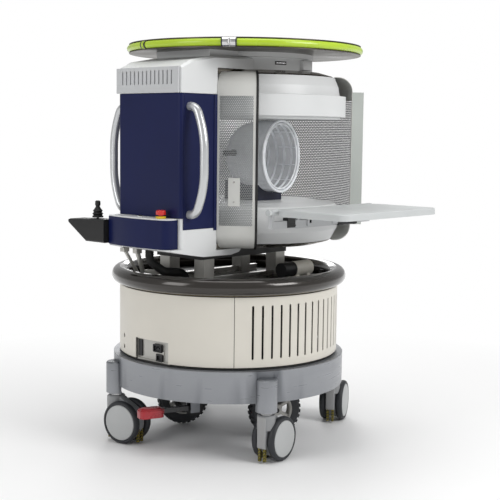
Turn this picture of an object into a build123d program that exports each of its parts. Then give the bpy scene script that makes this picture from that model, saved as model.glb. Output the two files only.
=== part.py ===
from build123d import *
import math
import os

os.makedirs("parts", exist_ok=True)

# Portable bedside MRI scanner. Millimetres, +Z up, -Y patient side, -X driving side.
# The base axis is the centre of every base part. The magnet axis sits ahead of the column.

# Shift from the base axis to the middle of the whole object's box
X_MID = 17.85
Y_MID = -110.65

# Driving dimensions
MAG_X = 109.0
CHASSIS_TURN = 17.0
PANEL_TURN = 1.8
BASE_R = 391.5
CHASSIS_R = BASE_R + 22.0
CHASSIS_Z0, CHASSIS_Z1 = 200.0, 306.0
POST_R = CHASSIS_R
POST_Z0, POST_Z1 = 172.0, 283.0
FLOOR_Z = 312.0
PANEL_Z0, PANEL_Z1 = 316.0, 550.0
PANEL_T = 3.0
DECK_Z0, DECK_Z1 = 556.0, 564.0
RAIL_R, RAIL_TUBE_R, RAIL_Z = BASE_R - 0.5, 29.0, 584.0
DECK_R = RAIL_R - RAIL_TUBE_R - 10.0
BEAM_H = 35.0
DISC_R, DISC_T = 293.0, 17.0
LOW_DISC_Z, UP_DISC_Z = 692.0, 1283.0
BEAM_Z1 = LOW_DISC_Z
BEAM_Z0 = BEAM_Z1 - BEAM_H
LOW_TOP_Z, UP_FACE_Z, LOW_DOME = 835.0, 1135.0, 11.0
LOW_COVER_R, UP_COVER_R = DISC_R + 24.0, DISC_R + 48.0
SHIELD_R, SHIELD_T, SHIELD_FOOT = UP_COVER_R + 27.0, 1.5, DISC_R + 9.0
SHIELD_Z0, SHIELD_Z1, SHIELD_CORNER = 696.0, 1290.0, 53.0
OPEN_A0, OPEN_A1 = 225.3, 315.0
COL_X0, COL_Y, COL_CORNER = -389.0, 154.0, 14.0
SIDE_HALF = math.degrees(math.asin((COL_Y + 0.9) / SHIELD_R))
SIDE_A0, SIDE_A1 = 180 + SIDE_HALF, 180 - SIDE_HALF
COL_X1 = MAG_X - SHIELD_R * math.cos(math.radians(SIDE_HALF)) + 2.6
BLUE_Z0, BLUE_Z1 = 768.0, 1212.0
GRILLE_Z1 = 1296.0
CONSOLE_Z0, CONSOLE_Z1 = 706.0, 801.0
RING_X, RING_R, RING_Z = 72.0, 408.2, 1377.0
LIME_R = 12.5
CH_WALL = RING_R - LIME_R - 0.7
CH_IN, CH_LIP = CH_WALL - 3.5, 413.5
CH_Z0, CH_Z1, CH_T = 1360.5, 1393.5, 3.0
PIN_A, PIN_B, MEET_A = 216.1, 168.0, 13.5
HINGE_Y, HINGE_Z = -(LOW_COVER_R + 21.0), 826.0
BRIDGE_HALF, BRIDGE_T, BRIDGE_L = 264.0, 22.0, 304.0
CASTER_WHEEL_R, CASTER_TRAIL = 75.0, 48.0
DRIVE_R, DRIVE_Z = 95.0, 101.0
COIL_Z, COIL_Y = 1004.0, -150.0
STICK_X, STICK_Y, STICK_Z = -420.0, 227.0, 776.0
STOP_X, STOP_Y = -415.0, -89.0
BUTTON_X, BUTTON_Y = -415.0, 12.0
PEDAL_X, PEDAL_Y, PEDAL_Z, PEDAL_TURN = -268.0, -93.0, 150.0, 159.0
HOSE_TOP, HOSE_R = (-354.0, 34.0, 690.0), 15.0

# Named clearances
SHAFT_GAP = 0.05
LOOSE_GAP = 0.5
SEAT_GAP = 0.2

SAVED = Location((-X_MID, -Y_MID, 0))


def save(sub, label):
    placed = sub.part.moved(SAVED)
    placed.label = label
    export_step(placed, f"parts/{label}.step")


def polar(radius, angle, x0=0.0, y0=0.0):
    a = math.radians(angle)
    return (x0 + radius * math.cos(a), y0 + radius * math.sin(a))


def ring(z0, z1, r_out, r_in=0.0, x0=0.0, mode=Mode.ADD):
    with BuildSketch(Plane.XY.offset(z0)) as flat:
        with Locations((x0, 0)):
            Circle(r_out)
            if r_in > 0:
                Circle(r_in, mode=Mode.SUBTRACT)
    extrude(flat.sketch, amount=z1 - z0, mode=mode)


def block(x0, x1, y0, y1, z0, z1, mode=Mode.ADD):
    with Locations(((x0 + x1) / 2, (y0 + y1) / 2, (z0 + z1) / 2)):
        Box(x1 - x0, y1 - y0, z1 - z0, mode=mode)


def radial_plane(angle, x0=0.0):
    # Sketch plane through the vertical axis at x0: local x is outward, local y is up
    a = math.radians(angle)
    return Plane(origin=(x0, 0, 0), x_dir=(math.cos(a), math.sin(a), 0),
                 z_dir=(math.sin(a), -math.cos(a), 0))


def side_plane(x, y, angle):
    # Upright plane at a caster: local x along the trail, local y up
    a = math.radians(angle)
    return Plane(origin=(x, y, 0), x_dir=(math.cos(a), math.sin(a), 0),
                 z_dir=(math.sin(a), -math.cos(a), 0))


# Chassis: silver ring, floor plate, ribs, four caster posts and the pedal pivot
POST_W, POST_RUN, STEM_R, STEM_L = 36.0, 46.0, 11.0, 62.0
PEDAL_PLANE = Plane(origin=(PEDAL_X, PEDAL_Y, 0), x_dir=(*polar(1, PEDAL_TURN), 0), z_dir=(0, 0, 1))
with BuildPart() as chassis_frame:
    ring(CHASSIS_Z0, CHASSIS_Z1, CHASSIS_R, CHASSIS_R - 14)
    ring(CHASSIS_Z1 - 6, CHASSIS_Z1, CHASSIS_R, BASE_R - 6.5)
    ring(CHASSIS_Z0, CHASSIS_Z0 + 10, CHASSIS_R - 8)
    with PolarLocations(0, 4, CHASSIS_TURN):
        with Locations((CHASSIS_R / 2, 0, (CHASSIS_Z0 + CHASSIS_Z1) / 2)):
            Box(CHASSIS_R - 20, 12, CHASSIS_Z1 - CHASSIS_Z0)
    for k in range(4):
        post_at = polar(POST_R - POST_RUN / 2, 45 + CHASSIS_TURN + 90 * k)
        with BuildSketch(Plane.XY.offset(POST_Z0)) as post_flat:
            with Locations(Location((post_at[0], post_at[1], 0), (0, 0, 1), 45 + CHASSIS_TURN + 90 * k)):
                SlotCenterToCenter(POST_RUN, POST_W * 2)
        extrude(post_flat.sketch, amount=POST_Z1 - POST_Z0)
    with BuildSketch(Plane.XY.offset(POST_Z0 - 1)) as hollow:
        Circle(CHASSIS_R - 8)
    extrude(hollow.sketch, amount=CHASSIS_Z0 - POST_Z0 + 1, mode=Mode.SUBTRACT)
    post_tops = chassis_frame.faces().filter_by_position(Axis.Z, POST_Z1 - 0.1, POST_Z1 + 0.1)
    outer_tops = [e for f in post_tops for e in f.edges() if math.hypot(e.center().X, e.center().Y) > CHASSIS_R + 1]
    chamfer(outer_tops, length=5)
    for k in range(4):
        stem_at = polar(POST_R, 45 + CHASSIS_TURN + 90 * k)
        with Locations((stem_at[0], stem_at[1], POST_Z0 + STEM_L / 2)):
            Cylinder(STEM_R, STEM_L, mode=Mode.SUBTRACT)
    with Locations(PEDAL_PLANE):
        with Locations((0, 19, (PEDAL_Z - 14 + CHASSIS_Z0) / 2), (0, -19, (PEDAL_Z - 14 + CHASSIS_Z0) / 2)):
            Box(32, 8, CHASSIS_Z0 - PEDAL_Z + 14)
        with Locations((0, 0, CHASSIS_Z0 - 3)):
            Box(32, 46, 6)
        with Locations(Location((0, 0, PEDAL_Z), (1, 0, 0), 90)):
            Cylinder(6, 46)

# Cabinet frame: floor, struts, deck plate with cable hole, rail brackets and dark vent band
with BuildPart() as cabinet_frame:
    ring(CHASSIS_Z1, FLOOR_Z, BASE_R - 8.5)
    for k in range(4):
        seam = 45 + PANEL_TURN + 90 * k
        strut_at = polar(BASE_R - 35.5, seam)
        with Locations(Location((strut_at[0], strut_at[1], (FLOOR_Z + DECK_Z0) / 2), (0, 0, 1), seam)):
            Box(26, 40, DECK_Z0 - FLOOR_Z)
        strut_at = polar(BASE_R - 13.5, seam)
        with Locations(Location((strut_at[0], strut_at[1], 425), (0, 0, 1), seam)):
            Box(30, 40, 206)
    ring(300, 540, BASE_R + 20, BASE_R - PANEL_T, mode=Mode.SUBTRACT)
    ring(DECK_Z0 - 10, DECK_Z0, BASE_R - 11.5, BASE_R - 61.5)
    ring(530, 554.5, BASE_R - 5, BASE_R - 12.5)
    for k in range(6):
        arm_at = polar(BASE_R - 25.5, 30 + 60 * k)
        with Locations(Location((arm_at[0], arm_at[1], 570), (0, 0, 1), 30 + 60 * k)):
            Box(26, 34, 28.4)
    ring(DECK_Z0, DECK_Z1, DECK_R)
    with Locations((-215, 0, DECK_Z0)):
        Cylinder(30, 40, mode=Mode.SUBTRACT)
    with Locations((0, 0, RAIL_Z)):
        Torus(RAIL_R, RAIL_TUBE_R + SEAT_GAP, mode=Mode.SUBTRACT)
    for k in range(48):
        slit_at = polar(BASE_R - 7.5, 7.5 * k)
        with Locations(Location((slit_at[0], slit_at[1], 544), (0, 0, 1), 7.5 * k)):
            Box(12, 24, 9, mode=Mode.SUBTRACT)

# Four cabinet panels
SLOT_W, SLOT_Z0, SLOT_Z1, SLOT_COUNT, SLOT_STEP, SLOT_BACK = 7.6, 342.0, 522.0, 15, 4.95, 1.3
RECESS_A, RECESS_W, RECESS_Z1 = 181.6, 158.0, 388.0
HOLE_A, HOLE_R, HOLE_ZS = 155.8, 8.0, (378.0, 339.0)


def make_panel(mid, slotted, recessed):
    with BuildPart() as panel:
        with BuildSketch(radial_plane(mid - 44.85)) as wall:
            with Locations((BASE_R - PANEL_T / 2, (PANEL_Z0 + PANEL_Z1) / 2)):
                Rectangle(PANEL_T, PANEL_Z1 - PANEL_Z0)
            with Locations((BASE_R - PANEL_T - 1.2, PANEL_Z0 + 1.5)):
                Rectangle(4.8, PANEL_T)
        revolve(wall.sketch, axis=Axis.Z, revolution_arc=89.7)
        if slotted:
            for k in range(SLOT_COUNT):
                a = mid - SLOT_BACK + SLOT_STEP * (k - (SLOT_COUNT - 1) / 2)
                plane = Plane(origin=(*polar(BASE_R - 8, a), (SLOT_Z0 + SLOT_Z1) / 2),
                              x_dir=(-math.sin(math.radians(a)), math.cos(math.radians(a)), 0),
                              z_dir=(math.cos(math.radians(a)), math.sin(math.radians(a)), 0))
                with BuildSketch(plane) as slot:
                    SlotOverall(SLOT_Z1 - SLOT_Z0, SLOT_W, rotation=90)
                extrude(slot.sketch, amount=14, mode=Mode.SUBTRACT)
        if recessed:
            with Locations(Location((*polar(BASE_R, RECESS_A), (RECESS_Z1 + PANEL_Z0) / 2 - 5),
                                    (0, 0, 1), RECESS_A)):
                Box(40, RECESS_W, RECESS_Z1 - PANEL_Z0 + 10, mode=Mode.SUBTRACT)
            for hole_z in HOLE_ZS:
                with Locations(Location((*polar(BASE_R, HOLE_A), hole_z), (0, 0, 1), HOLE_A)):
                    with Locations(Rotation(0, 90, 0)):
                        Cylinder(HOLE_R, 20, mode=Mode.SUBTRACT)
    return panel


panel_front = make_panel(270 + PANEL_TURN, True, False)
panel_right = make_panel(0 + PANEL_TURN, False, False)
panel_back = make_panel(90 + PANEL_TURN, True, False)
panel_left = make_panel(180 + PANEL_TURN, False, True)

# Recessed socket plate with its power inlet and network socket
RECESS_FACE = BASE_R - 15.5
PLATE_Z1 = RECESS_Z1 - 2
RECESS_PLANE = Plane(origin=(0, 0, 0), x_dir=(*polar(1, RECESS_A), 0), z_dir=(0, 0, 1))
with BuildPart() as socket_plate:
    with Locations(RECESS_PLANE):
        with Locations((RECESS_FACE - 5, 0, (FLOOR_Z + PLATE_Z1) / 2)):
            Box(10, RECESS_W - 4, PLATE_Z1 - FLOOR_Z)
        with Locations((RECESS_FACE - 1, 0, (FLOOR_Z + PLATE_Z1) / 2 + 1)):
            Box(8, RECESS_W - 9, PLATE_Z1 - FLOOR_Z - 8, mode=Mode.SUBTRACT)
        with Locations((RECESS_FACE + 0.6, 23, 361)):
            Box(11.2, 38, 26)
        with Locations((RECESS_FACE + 3.2, 23, 361)):
            Box(6, 31, 19, mode=Mode.SUBTRACT)
        with Locations(*[(RECESS_FACE + 2.4, y, z) for y, z in ((15, 361), (31, 361), (23, 365))]):
            Box(5, 2, 5)
        with Locations((RECESS_FACE - 0.8, 30, 329)):
            Box(8.4, 28, 25)
        with Locations((RECESS_FACE + 0.4, 30, 329)):
            Box(6, 19, 15, mode=Mode.SUBTRACT)
        with Locations((RECESS_FACE - 3.2, 27, 345)):
            Box(3.6, 44, 12)
        with Locations((RECESS_FACE - 2.6, -64, 352)):
            Box(5, 16, 56)

# Steel handrail ring
with BuildPart() as handrail:
    with BuildSketch(radial_plane(0)) as tube:
        with Locations((RAIL_R, RAIL_Z)):
            Circle(RAIL_TUBE_R)
            Circle(RAIL_TUBE_R - 3, mode=Mode.SUBTRACT)
    revolve(tube.sketch, axis=Axis.Z)

# Boxes inside the cabinet
with BuildPart() as electronics_rack:
    block(-190, 190, 20, 230, FLOOR_Z, 520)
    for k in range(3):
        block(-176, 176, 10, 24, 326 + 66 * k, 380 + 66 * k, mode=Mode.ADD)
with BuildPart() as battery_pack:
    block(-180, 180, -260, -110, FLOOR_Z, 460)
    with Locations((-120, -185, 466), (120, -185, 466)):
        Cylinder(12, 12)

# Deck rails, carriages and platform beam
RAIL_YS = (-86.0, 86.0)
CARRIAGE_XS = (-211.0, 154.0)
with BuildPart() as guide_rails:
    for y in RAIL_YS:
        block(-262, 232, y - 11, y + 11, DECK_Z1, 590)
        block(-263, 233, y - 12, y - 8, 572, 580, mode=Mode.SUBTRACT)
        block(-263, 233, y + 8, y + 12, 572, 580, mode=Mode.SUBTRACT)
with BuildPart() as carriages:
    for y in RAIL_YS:
        for x in CARRIAGE_XS:
            block(x - 24, x + 24, y - 24, y + 24, 573, BEAM_Z0)
            block(x - 25, x + 25, y - 11.3, y + 11.3, 572, 590.3, mode=Mode.SUBTRACT)
BEAM_X0, BEAM_X1, BEAM_Y = -250.0, 186.0, 110.0
with BuildPart() as platform_beam:
    block(BEAM_X0, BEAM_X1, -BEAM_Y, BEAM_Y, BEAM_Z0, BEAM_Z1)

# Horizontal actuator on two saddles
ACT_Y, ACT_Z, ACT_R = -180.0, 601.0, 27.0
ACT_X1 = math.sqrt((DECK_R - 26) ** 2 - (ACT_R - ACT_Y) ** 2) - 22
with BuildPart() as actuator:
    with Locations(Location((ACT_X1 - 48, ACT_Y, ACT_Z), (0, 1, 0), 90)):
        Cylinder(ACT_R, 96)
    with Locations(Location((ACT_X1 - 123, ACT_Y, ACT_Z), (0, 1, 0), 90)):
        Cylinder(ACT_R - 1.5, 56)
    for x in (ACT_X1 - 20, ACT_X1 - 80):
        block(x - 8, x + 8, ACT_Y - 20, ACT_Y + 20, DECK_Z1, ACT_Z - 8)

# Drive motors with their brackets, drive shafts
DRIVE_OUT, DRIVE_AT, DRIVE_FACE = 186.0, 288.0, 225 + CHASSIS_TURN
SHAFT_R, MOTOR_R, MOTOR_BACK, MOTOR_L = 9.0, 34.0, 52.0, 96.0


def drive_plane(s):
    # Local x runs out along the wheel's axle, from the wheel's middle
    return Plane(origin=(*polar(DRIVE_OUT, DRIVE_AT + (0 if s > 0 else 180)), 0),
                 x_dir=(*polar(1, DRIVE_FACE + (0 if s > 0 else 180)), 0), z_dir=(0, 0, 1))


with BuildPart() as drive_motors:
    for s in (-1, 1):
        with Locations(drive_plane(s)):
            for r, x0, x1 in ((MOTOR_R, -MOTOR_BACK - MOTOR_L, -MOTOR_BACK), (44, -MOTOR_BACK - 8, -MOTOR_BACK + 16),
                              (SHAFT_R, -MOTOR_BACK, 30)):
                with Locations(Location(((x0 + x1) / 2, 0, DRIVE_Z), (0, 1, 0), 90)):
                    Cylinder(r, x1 - x0)
            with Locations((-MOTOR_BACK + 4, 0, (DRIVE_Z + CHASSIS_Z0) / 2)):
                Box(12, 76, CHASSIS_Z0 - DRIVE_Z)
            with Locations((-MOTOR_BACK - MOTOR_L / 2, 0, (DRIVE_Z + CHASSIS_Z0) / 2)):
                Box(MOTOR_L - 20, 40, CHASSIS_Z0 - DRIVE_Z)

# Lower and upper yoke plates, yoke column, magnet packs
TANG_X0, TANG_Y = -365.0, 125.0
YOKE_X1 = COL_X1 - 3.6


def yoke_disc(z_flat, z_thin):
    # Round plate with a thin rim: flat on one face, sloping back from the rim on the other
    lean = 1 if z_thin > z_flat else -1
    with BuildSketch(radial_plane(0, MAG_X)) as half:
        with BuildLine():
            Polyline((0, z_flat), (DISC_R - 8, z_flat), (DISC_R, z_flat + lean * 3), (DISC_R - 1, z_flat + lean * 5),
                     (DISC_R - 44, z_thin), (0, z_thin), (0, z_flat))
        make_face()
    revolve(half.sketch, axis=Axis((MAG_X, 0, 0), (0, 0, 1)))


with BuildPart() as lower_yoke:
    yoke_disc(LOW_DISC_Z + DISC_T, LOW_DISC_Z)
    block(TANG_X0, MAG_X, -TANG_Y, TANG_Y, LOW_DISC_Z, LOW_DISC_Z + DISC_T)
with BuildPart() as upper_yoke:
    yoke_disc(UP_DISC_Z, UP_DISC_Z + DISC_T)
    block(TANG_X0, MAG_X, -TANG_Y, TANG_Y, UP_DISC_Z, UP_DISC_Z + DISC_T)
with BuildPart() as yoke_column:
    block(TANG_X0, YOKE_X1, -TANG_Y, TANG_Y, LOW_DISC_Z + DISC_T, UP_DISC_Z)
    ring(UP_FACE_Z, 1245, UP_COVER_R + LOOSE_GAP, x0=MAG_X, mode=Mode.SUBTRACT)
with BuildPart() as magnet_packs:
    ring(LOW_DISC_Z + DISC_T, 810, DISC_R - 21, x0=MAG_X)
    ring(1160, UP_DISC_Z, DISC_R - 21, x0=MAG_X)

# Pole covers: hollow shells over the magnet packs
LOW_Z0 = LOW_DISC_Z + DISC_T
with BuildPart() as lower_pole_cover:
    with BuildSketch(radial_plane(0, MAG_X)) as low_wall:
        with BuildLine():
            Polyline((0, LOW_TOP_Z + LOW_DOME), (LOW_COVER_R - 80, LOW_TOP_Z + LOW_DOME - 1),
                     (LOW_COVER_R - 9, LOW_TOP_Z), (LOW_COVER_R, LOW_TOP_Z - 9), (LOW_COVER_R, 748),
                     (LOW_COVER_R - 21, LOW_Z0), (LOW_COVER_R - 27, LOW_Z0), (LOW_COVER_R - 6, 750),
                     (LOW_COVER_R - 6, 824), (LOW_COVER_R - 11, 829), (0, 829), (0, LOW_TOP_Z + LOW_DOME))
        make_face()
    revolve(low_wall.sketch, axis=Axis((MAG_X, 0, 0), (0, 0, 1)))
with BuildPart() as upper_pole_cover:
    with BuildSketch(radial_plane(0, MAG_X)) as up_wall:
        with BuildLine():
            r = UP_COVER_R
            Polyline((0, UP_FACE_Z), (r - 18, UP_FACE_Z), (r - 18, 1145), (r, 1145), (r, 1217), (r - 22, 1219),
                     (r - 27, 1250), (r - 41, UP_DISC_Z), (r - 50, UP_DISC_Z), (r - 34, 1248), (r - 29, 1213),
                     (r - 6, 1211), (r - 6, 1151), (r - 24, 1151), (r - 24, 1141), (0, 1141), (0, UP_FACE_Z))
        make_face()
    revolve(up_wall.sketch, axis=Axis((MAG_X, 0, 0), (0, 0, 1)))

# Column frame with its corner strips
with BuildPart() as column_frame:
    block(COL_X0 + 4, COL_X1 + 2, -COL_Y + 4, COL_Y - 4, BLUE_Z0, BLUE_Z1)
    block(COL_X0 + 10, COL_X1 - 2, -COL_Y + 9, COL_Y - 9, BLUE_Z0 - 1, BLUE_Z1 + 1, mode=Mode.SUBTRACT)
    ring(UP_FACE_Z, 1245, UP_COVER_R + LOOSE_GAP, x0=MAG_X, mode=Mode.SUBTRACT)

# Blue rear and side panels
with BuildPart() as rear_panel:
    block(COL_X0, COL_X0 + COL_CORNER, -COL_Y, COL_Y, CONSOLE_Z1 + 5, BLUE_Z1)
    fillet(rear_panel.edges().filter_by(Axis.Z).group_by(Axis.X)[0], radius=COL_CORNER - 1)
    block(COL_X0 + 4, COL_X0 + COL_CORNER + 1, -COL_Y + 4, COL_Y - 4, CONSOLE_Z1 + 4, BLUE_Z1 + 1,
          mode=Mode.SUBTRACT)
with BuildPart() as side_panels:
    for s in (-1, 1):
        block(COL_X0 + COL_CORNER + 1, COL_X1, s * (COL_Y - 2) - 2, s * (COL_Y - 2) + 2, BLUE_Z0 + 0.5, BLUE_Z1 - 0.5)

# Grille on the column's back
GRILLE_W, GRILLE_H, GRILLE_PITCH, GRILLE_SLOTS = 6.0, 46.0, 20.0, 13
with BuildPart() as vent_grille:
    block(-394, -386, -146, 157, BLUE_Z1 + 0.8, GRILLE_Z1)
    with BuildSketch(Plane(origin=(-400, 5.5, 1263), x_dir=(0, -1, 0), z_dir=(1, 0, 0))) as slots:
        with GridLocations(GRILLE_PITCH, 0, GRILLE_SLOTS, 1):
            SlotOverall(GRILLE_H, GRILLE_W, rotation=90)
    extrude(slots.sketch, amount=30, mode=Mode.SUBTRACT)

# White top housing: column cap, domed roof and neck over the magnet
with BuildPart() as top_housing:
    with BuildSketch(Plane.XZ.offset(-COL_Y)) as cap_side:
        with BuildLine():
            Polyline((-385.8, BLUE_Z1 + 0.8), (COL_X1, BLUE_Z1 + 0.8), (COL_X1, 1300), (40, 1300), (40, 1345),
                     (-236, 1338), (-340, 1320), (-385.8, 1298), (-385.8, BLUE_Z1 + 0.8))
        make_face()
    extrude(cap_side.sketch, amount=2 * COL_Y)
    roof_edges = top_housing.edges().filter_by(
        lambda e: abs(abs(e.center().Y) - COL_Y) < 0.1 and e.center().Z > 1302 and e.center().X < 30)
    chamfer(roof_edges, length=7)
    ring(1300, 1345, 218, x0=MAG_X)
    ring(1345, CH_Z0, 232, x0=92)
    block(-236, 90, -130, 130, 1337, CH_Z0)
    block(TANG_X0 - 1, COL_X1 + 1, -TANG_Y - 1, TANG_Y + 1, BLUE_Z1, 1300, mode=Mode.SUBTRACT)

# White lower housing: side block and tray under the lower yoke
HOUSING_Z0 = 672.0
with BuildPart() as lower_housing:
    with BuildSketch(Plane.XZ.offset(-COL_Y)) as low_side:
        with BuildLine():
            Polyline((-428, 705), (-428, 700), (-340, 683), (-283, 674), (-150, HOUSING_Z0), (-110, 680),
                     (-100, LOW_DISC_Z), (COL_X1, LOW_DISC_Z), (COL_X1, BLUE_Z0), (-385, BLUE_Z0),
                     (-385, 705), (-428, 705))
        make_face()
    extrude(low_side.sketch, amount=2 * COL_Y)
    fillet(lower_housing.edges().filter_by(Axis.Z).group_by(Axis.X)[1], radius=COL_CORNER)
    block(BEAM_X0 - 1, BEAM_X1, -BEAM_Y, BEAM_Y, BEAM_Z0, BEAM_Z1, mode=Mode.SUBTRACT)
    block(TANG_X0 - 1, COL_X1 + 1, -TANG_Y - 1, TANG_Y + 1, LOW_DISC_Z, BLUE_Z0 + 1, mode=Mode.SUBTRACT)
    with Locations((HOSE_TOP[0], HOSE_TOP[1], 680)):
        Cylinder(HOSE_R + SEAT_GAP, 21, mode=Mode.SUBTRACT)

# Console: blue body with a bowed outer face, white top, stop collar
CONSOLE_Y0, CONSOLE_Y1, CONSOLE_CORNER, TOP_INSET = -138.0, 152.0, 36.0, 1.0


def console_plan(z, inset, x1):
    # Bowed plan, inset all round, with one wide corner on the patient side
    with BuildSketch(Plane.XY.offset(z)) as plan:
        with BuildLine():
            Polyline((-437 + inset, CONSOLE_Y0 + inset), (x1, CONSOLE_Y0 + inset), (x1, CONSOLE_Y1 - inset),
                     (-437 + inset, CONSOLE_Y1 - inset))
            ThreePointArc((-437 + inset, CONSOLE_Y1 - inset), (-451 + inset, 10),
                          (-437 + inset, CONSOLE_Y0 + inset))
        make_face()
        fillet([v for v in plan.vertices() if v.X < -430 and v.Y < 0], radius=CONSOLE_CORNER)
        fillet([v for v in plan.vertices() if v.X < -430 and v.Y > 100], radius=9)
    return plan


with BuildPart() as console_body:
    extrude(console_plan(CONSOLE_Z0, 0, -385.3).sketch, amount=CONSOLE_Z1 - CONSOLE_Z0)
    block(-431, -391, -102, 140, CONSOLE_Z0 + 5, CONSOLE_Z1 + 1, mode=Mode.SUBTRACT)
    block(-425, -400, 140, 160, CONSOLE_Z0 + 20, CONSOLE_Z1 - 30, mode=Mode.SUBTRACT)
with BuildPart() as console_top:
    extrude(console_plan(CONSOLE_Z1, TOP_INSET, -389.6).sketch, amount=4)
    with Locations((STOP_X, STOP_Y, CONSOLE_Z1 + 7)):
        Cylinder(14, 7)
    with Locations((BUTTON_X, BUTTON_Y, CONSOLE_Z1 + 5)):
        Cylinder(9, 3)
    with Locations((STOP_X, STOP_Y, CONSOLE_Z1)):
        Cylinder(8 + SHAFT_GAP, 60, mode=Mode.SUBTRACT)
    with Locations((BUTTON_X, BUTTON_Y, CONSOLE_Z1)):
        Cylinder(6 + SHAFT_GAP, 60, mode=Mode.SUBTRACT)

# Stop button and small console button
with BuildPart() as stop_button:
    with Locations((STOP_X, STOP_Y, 799)):
        Cylinder(8, 40)
    with Locations((STOP_X, STOP_Y, 825)):
        Cylinder(16.5, 15)
    fillet(stop_button.edges().filter_by(GeomType.CIRCLE).group_by(Axis.Z)[-1], radius=5)
with BuildPart() as console_button:
    with Locations((BUTTON_X, BUTTON_Y, 800)):
        Cylinder(6, 22)

# Joystick pod, gimbal ring and stick
POCKET_R, CROSS_R = 25.0, 2.0
with BuildPart() as joystick_pod:
    with BuildSketch(Plane.YZ.offset(-457)) as pod_side:
        with BuildLine():
            Polyline((152.2, 708), (253, 708), (344, 764), (345, 778), (338, 781), (156, 788), (152.2, 788),
                     (152.2, 708))
        make_face()
    extrude(pod_side.sketch, amount=70)
    chamfer(joystick_pod.edges().filter_by(lambda e: abs(abs(e.center().X + 422) - 35) < 0.1
                                           and e.center().Y > 160 and e.length > 60), length=5)
    with Locations((STICK_X, STICK_Y, 775)):
        Cylinder(POCKET_R, 50, mode=Mode.SUBTRACT)
    with Locations(Location((STICK_X, STICK_Y, STICK_Z), (0, 1, 0), 90)):
        Cylinder(CROSS_R + SHAFT_GAP, 2 * POCKET_R + 10, mode=Mode.SUBTRACT)
with BuildPart() as joystick_gimbal:
    with Locations((STICK_X, STICK_Y, STICK_Z)):
        Cylinder(15, 6)
        Cylinder(10, 6, mode=Mode.SUBTRACT)
    for s in (-1, 1):
        with Locations(Location((STICK_X + s * 21.5, STICK_Y, STICK_Z), (0, 1, 0), 90)):
            Cylinder(CROSS_R, 15)
    with Locations(Location((STICK_X, STICK_Y, STICK_Z), (1, 0, 0), 90)):
        Cylinder(CROSS_R + SHAFT_GAP, 40, mode=Mode.SUBTRACT)
with BuildPart() as joystick_stick:
    with BuildSketch(Plane(origin=(STICK_X, STICK_Y, 0), x_dir=(1, 0, 0), z_dir=(0, -1, 0))) as stick_half:
        with BuildLine():
            Polyline((0, 770), (4, 770), (4, 790), (19, 790), (19, 794), (15, 798), (19, 803), (14, 808),
                     (17, 813), (10, 822), (7, 828), (9.5, 834), (9, 845), (6, 848), (0, 848), (0, 770))
        make_face()
    revolve(stick_half.sketch, axis=Axis((STICK_X, STICK_Y, 0), (0, 0, 1)))
    with Locations(Location((STICK_X, STICK_Y, STICK_Z), (1, 0, 0), 90)):
        Cylinder(CROSS_R, 29)

# Perforated shields: one drum profile turned through two arcs


def shield_wall(sketch_angle, inset, thick, foot):
    r1 = SHIELD_R + inset
    z0, z1 = SHIELD_Z0 - inset, SHIELD_Z1 + inset
    c = SHIELD_CORNER + inset
    h = c * (1 - math.cos(math.radians(45)))
    r2, y0, y1 = r1 - thick, z0 + thick, z1 - thick
    d = c - thick
    g = thick + d * (1 - math.cos(math.radians(45)))
    with BuildSketch(radial_plane(sketch_angle, MAG_X)) as wall:
        with BuildLine():
            Line((foot, z0), (r1 - c, z0))
            ThreePointArc((r1 - c, z0), (r1 - h, z0 + h), (r1, z0 + c))
            Line((r1, z0 + c), (r1, z1 - c))
            ThreePointArc((r1, z1 - c), (r1 - h, z1 - h), (r1 - c, z1))
            Line((r1 - c, z1), (foot, z1))
            Line((foot, z1), (foot, y1))
            Line((foot, y1), (r1 - c, y1))
            ThreePointArc((r1 - c, y1), (r1 - g, z1 - g), (r2, z1 - c))
            Line((r2, z1 - c), (r2, z0 + c))
            ThreePointArc((r2, z0 + c), (r1 - g, z0 + g), (r1 - c, y0))
            Line((r1 - c, y0), (foot, y0))
            Line((foot, y0), (foot, z0))
        make_face()
    return wall


MAG_AXIS = Axis((MAG_X, 0, 0), (0, 0, 1))
near_wall = shield_wall(SIDE_A0, 0, SHIELD_T, SHIELD_FOOT)
with BuildPart() as near_shield:
    revolve(near_wall.sketch, axis=MAG_AXIS, revolution_arc=OPEN_A0 - SIDE_A0)
    block(COL_X1 - 16, COL_X1, -COL_Y - 2.6, -COL_Y, 760, 1224)
GRID_ACROSS, GRID_ROWS, GRID_A0, GRID_STEP = 12, 4, 330.0, 15.6
GRID_Z0, GRID_PITCH, GRID_W, GRID_H = 820.0, 117.0, 74.0, 92.0
far_wall = shield_wall(OPEN_A1, 0, SHIELD_T, SHIELD_FOOT)
with BuildPart() as far_shield:
    revolve(far_wall.sketch, axis=MAG_AXIS, revolution_arc=SIDE_A1 + 360 - OPEN_A1)
    block(COL_X1 - 16, COL_X1, COL_Y, COL_Y + 2.6, 760, 1224)
    for k in range(GRID_ACROSS):
        a = GRID_A0 + GRID_STEP * k
        for row in range(GRID_ROWS):
            with Locations(Location((*polar(SHIELD_R, a, MAG_X), GRID_Z0 + GRID_PITCH * row), (0, 0, 1), a)):
                Box(20, GRID_W, GRID_H, mode=Mode.SUBTRACT)
trim_wall = shield_wall(OPEN_A0, 2, 5.5, SHIELD_FOOT - 2)
with BuildPart() as edge_trim:
    revolve(trim_wall.sketch, axis=MAG_AXIS, revolution_arc=0.95)

# Upright post on the far shield's front edge
with BuildPart() as side_post:
    with Locations(Location((MAG_X, 0, 0), (0, 0, 1), 317.0)):
        with Locations((SHIELD_R + 20.5, 0, 995.5)):
            Box(41, 24, 481)
        with Locations((SHIELD_R + 23, 0, 995.5)):
            Box(36, 16, 473, mode=Mode.SUBTRACT)
        with Locations((SHIELD_R + 39, 0, 995.5)):
            Box(4, 24, 481)
    ring(740, 1250, SHIELD_R, x0=MAG_X, mode=Mode.SUBTRACT)

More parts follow.
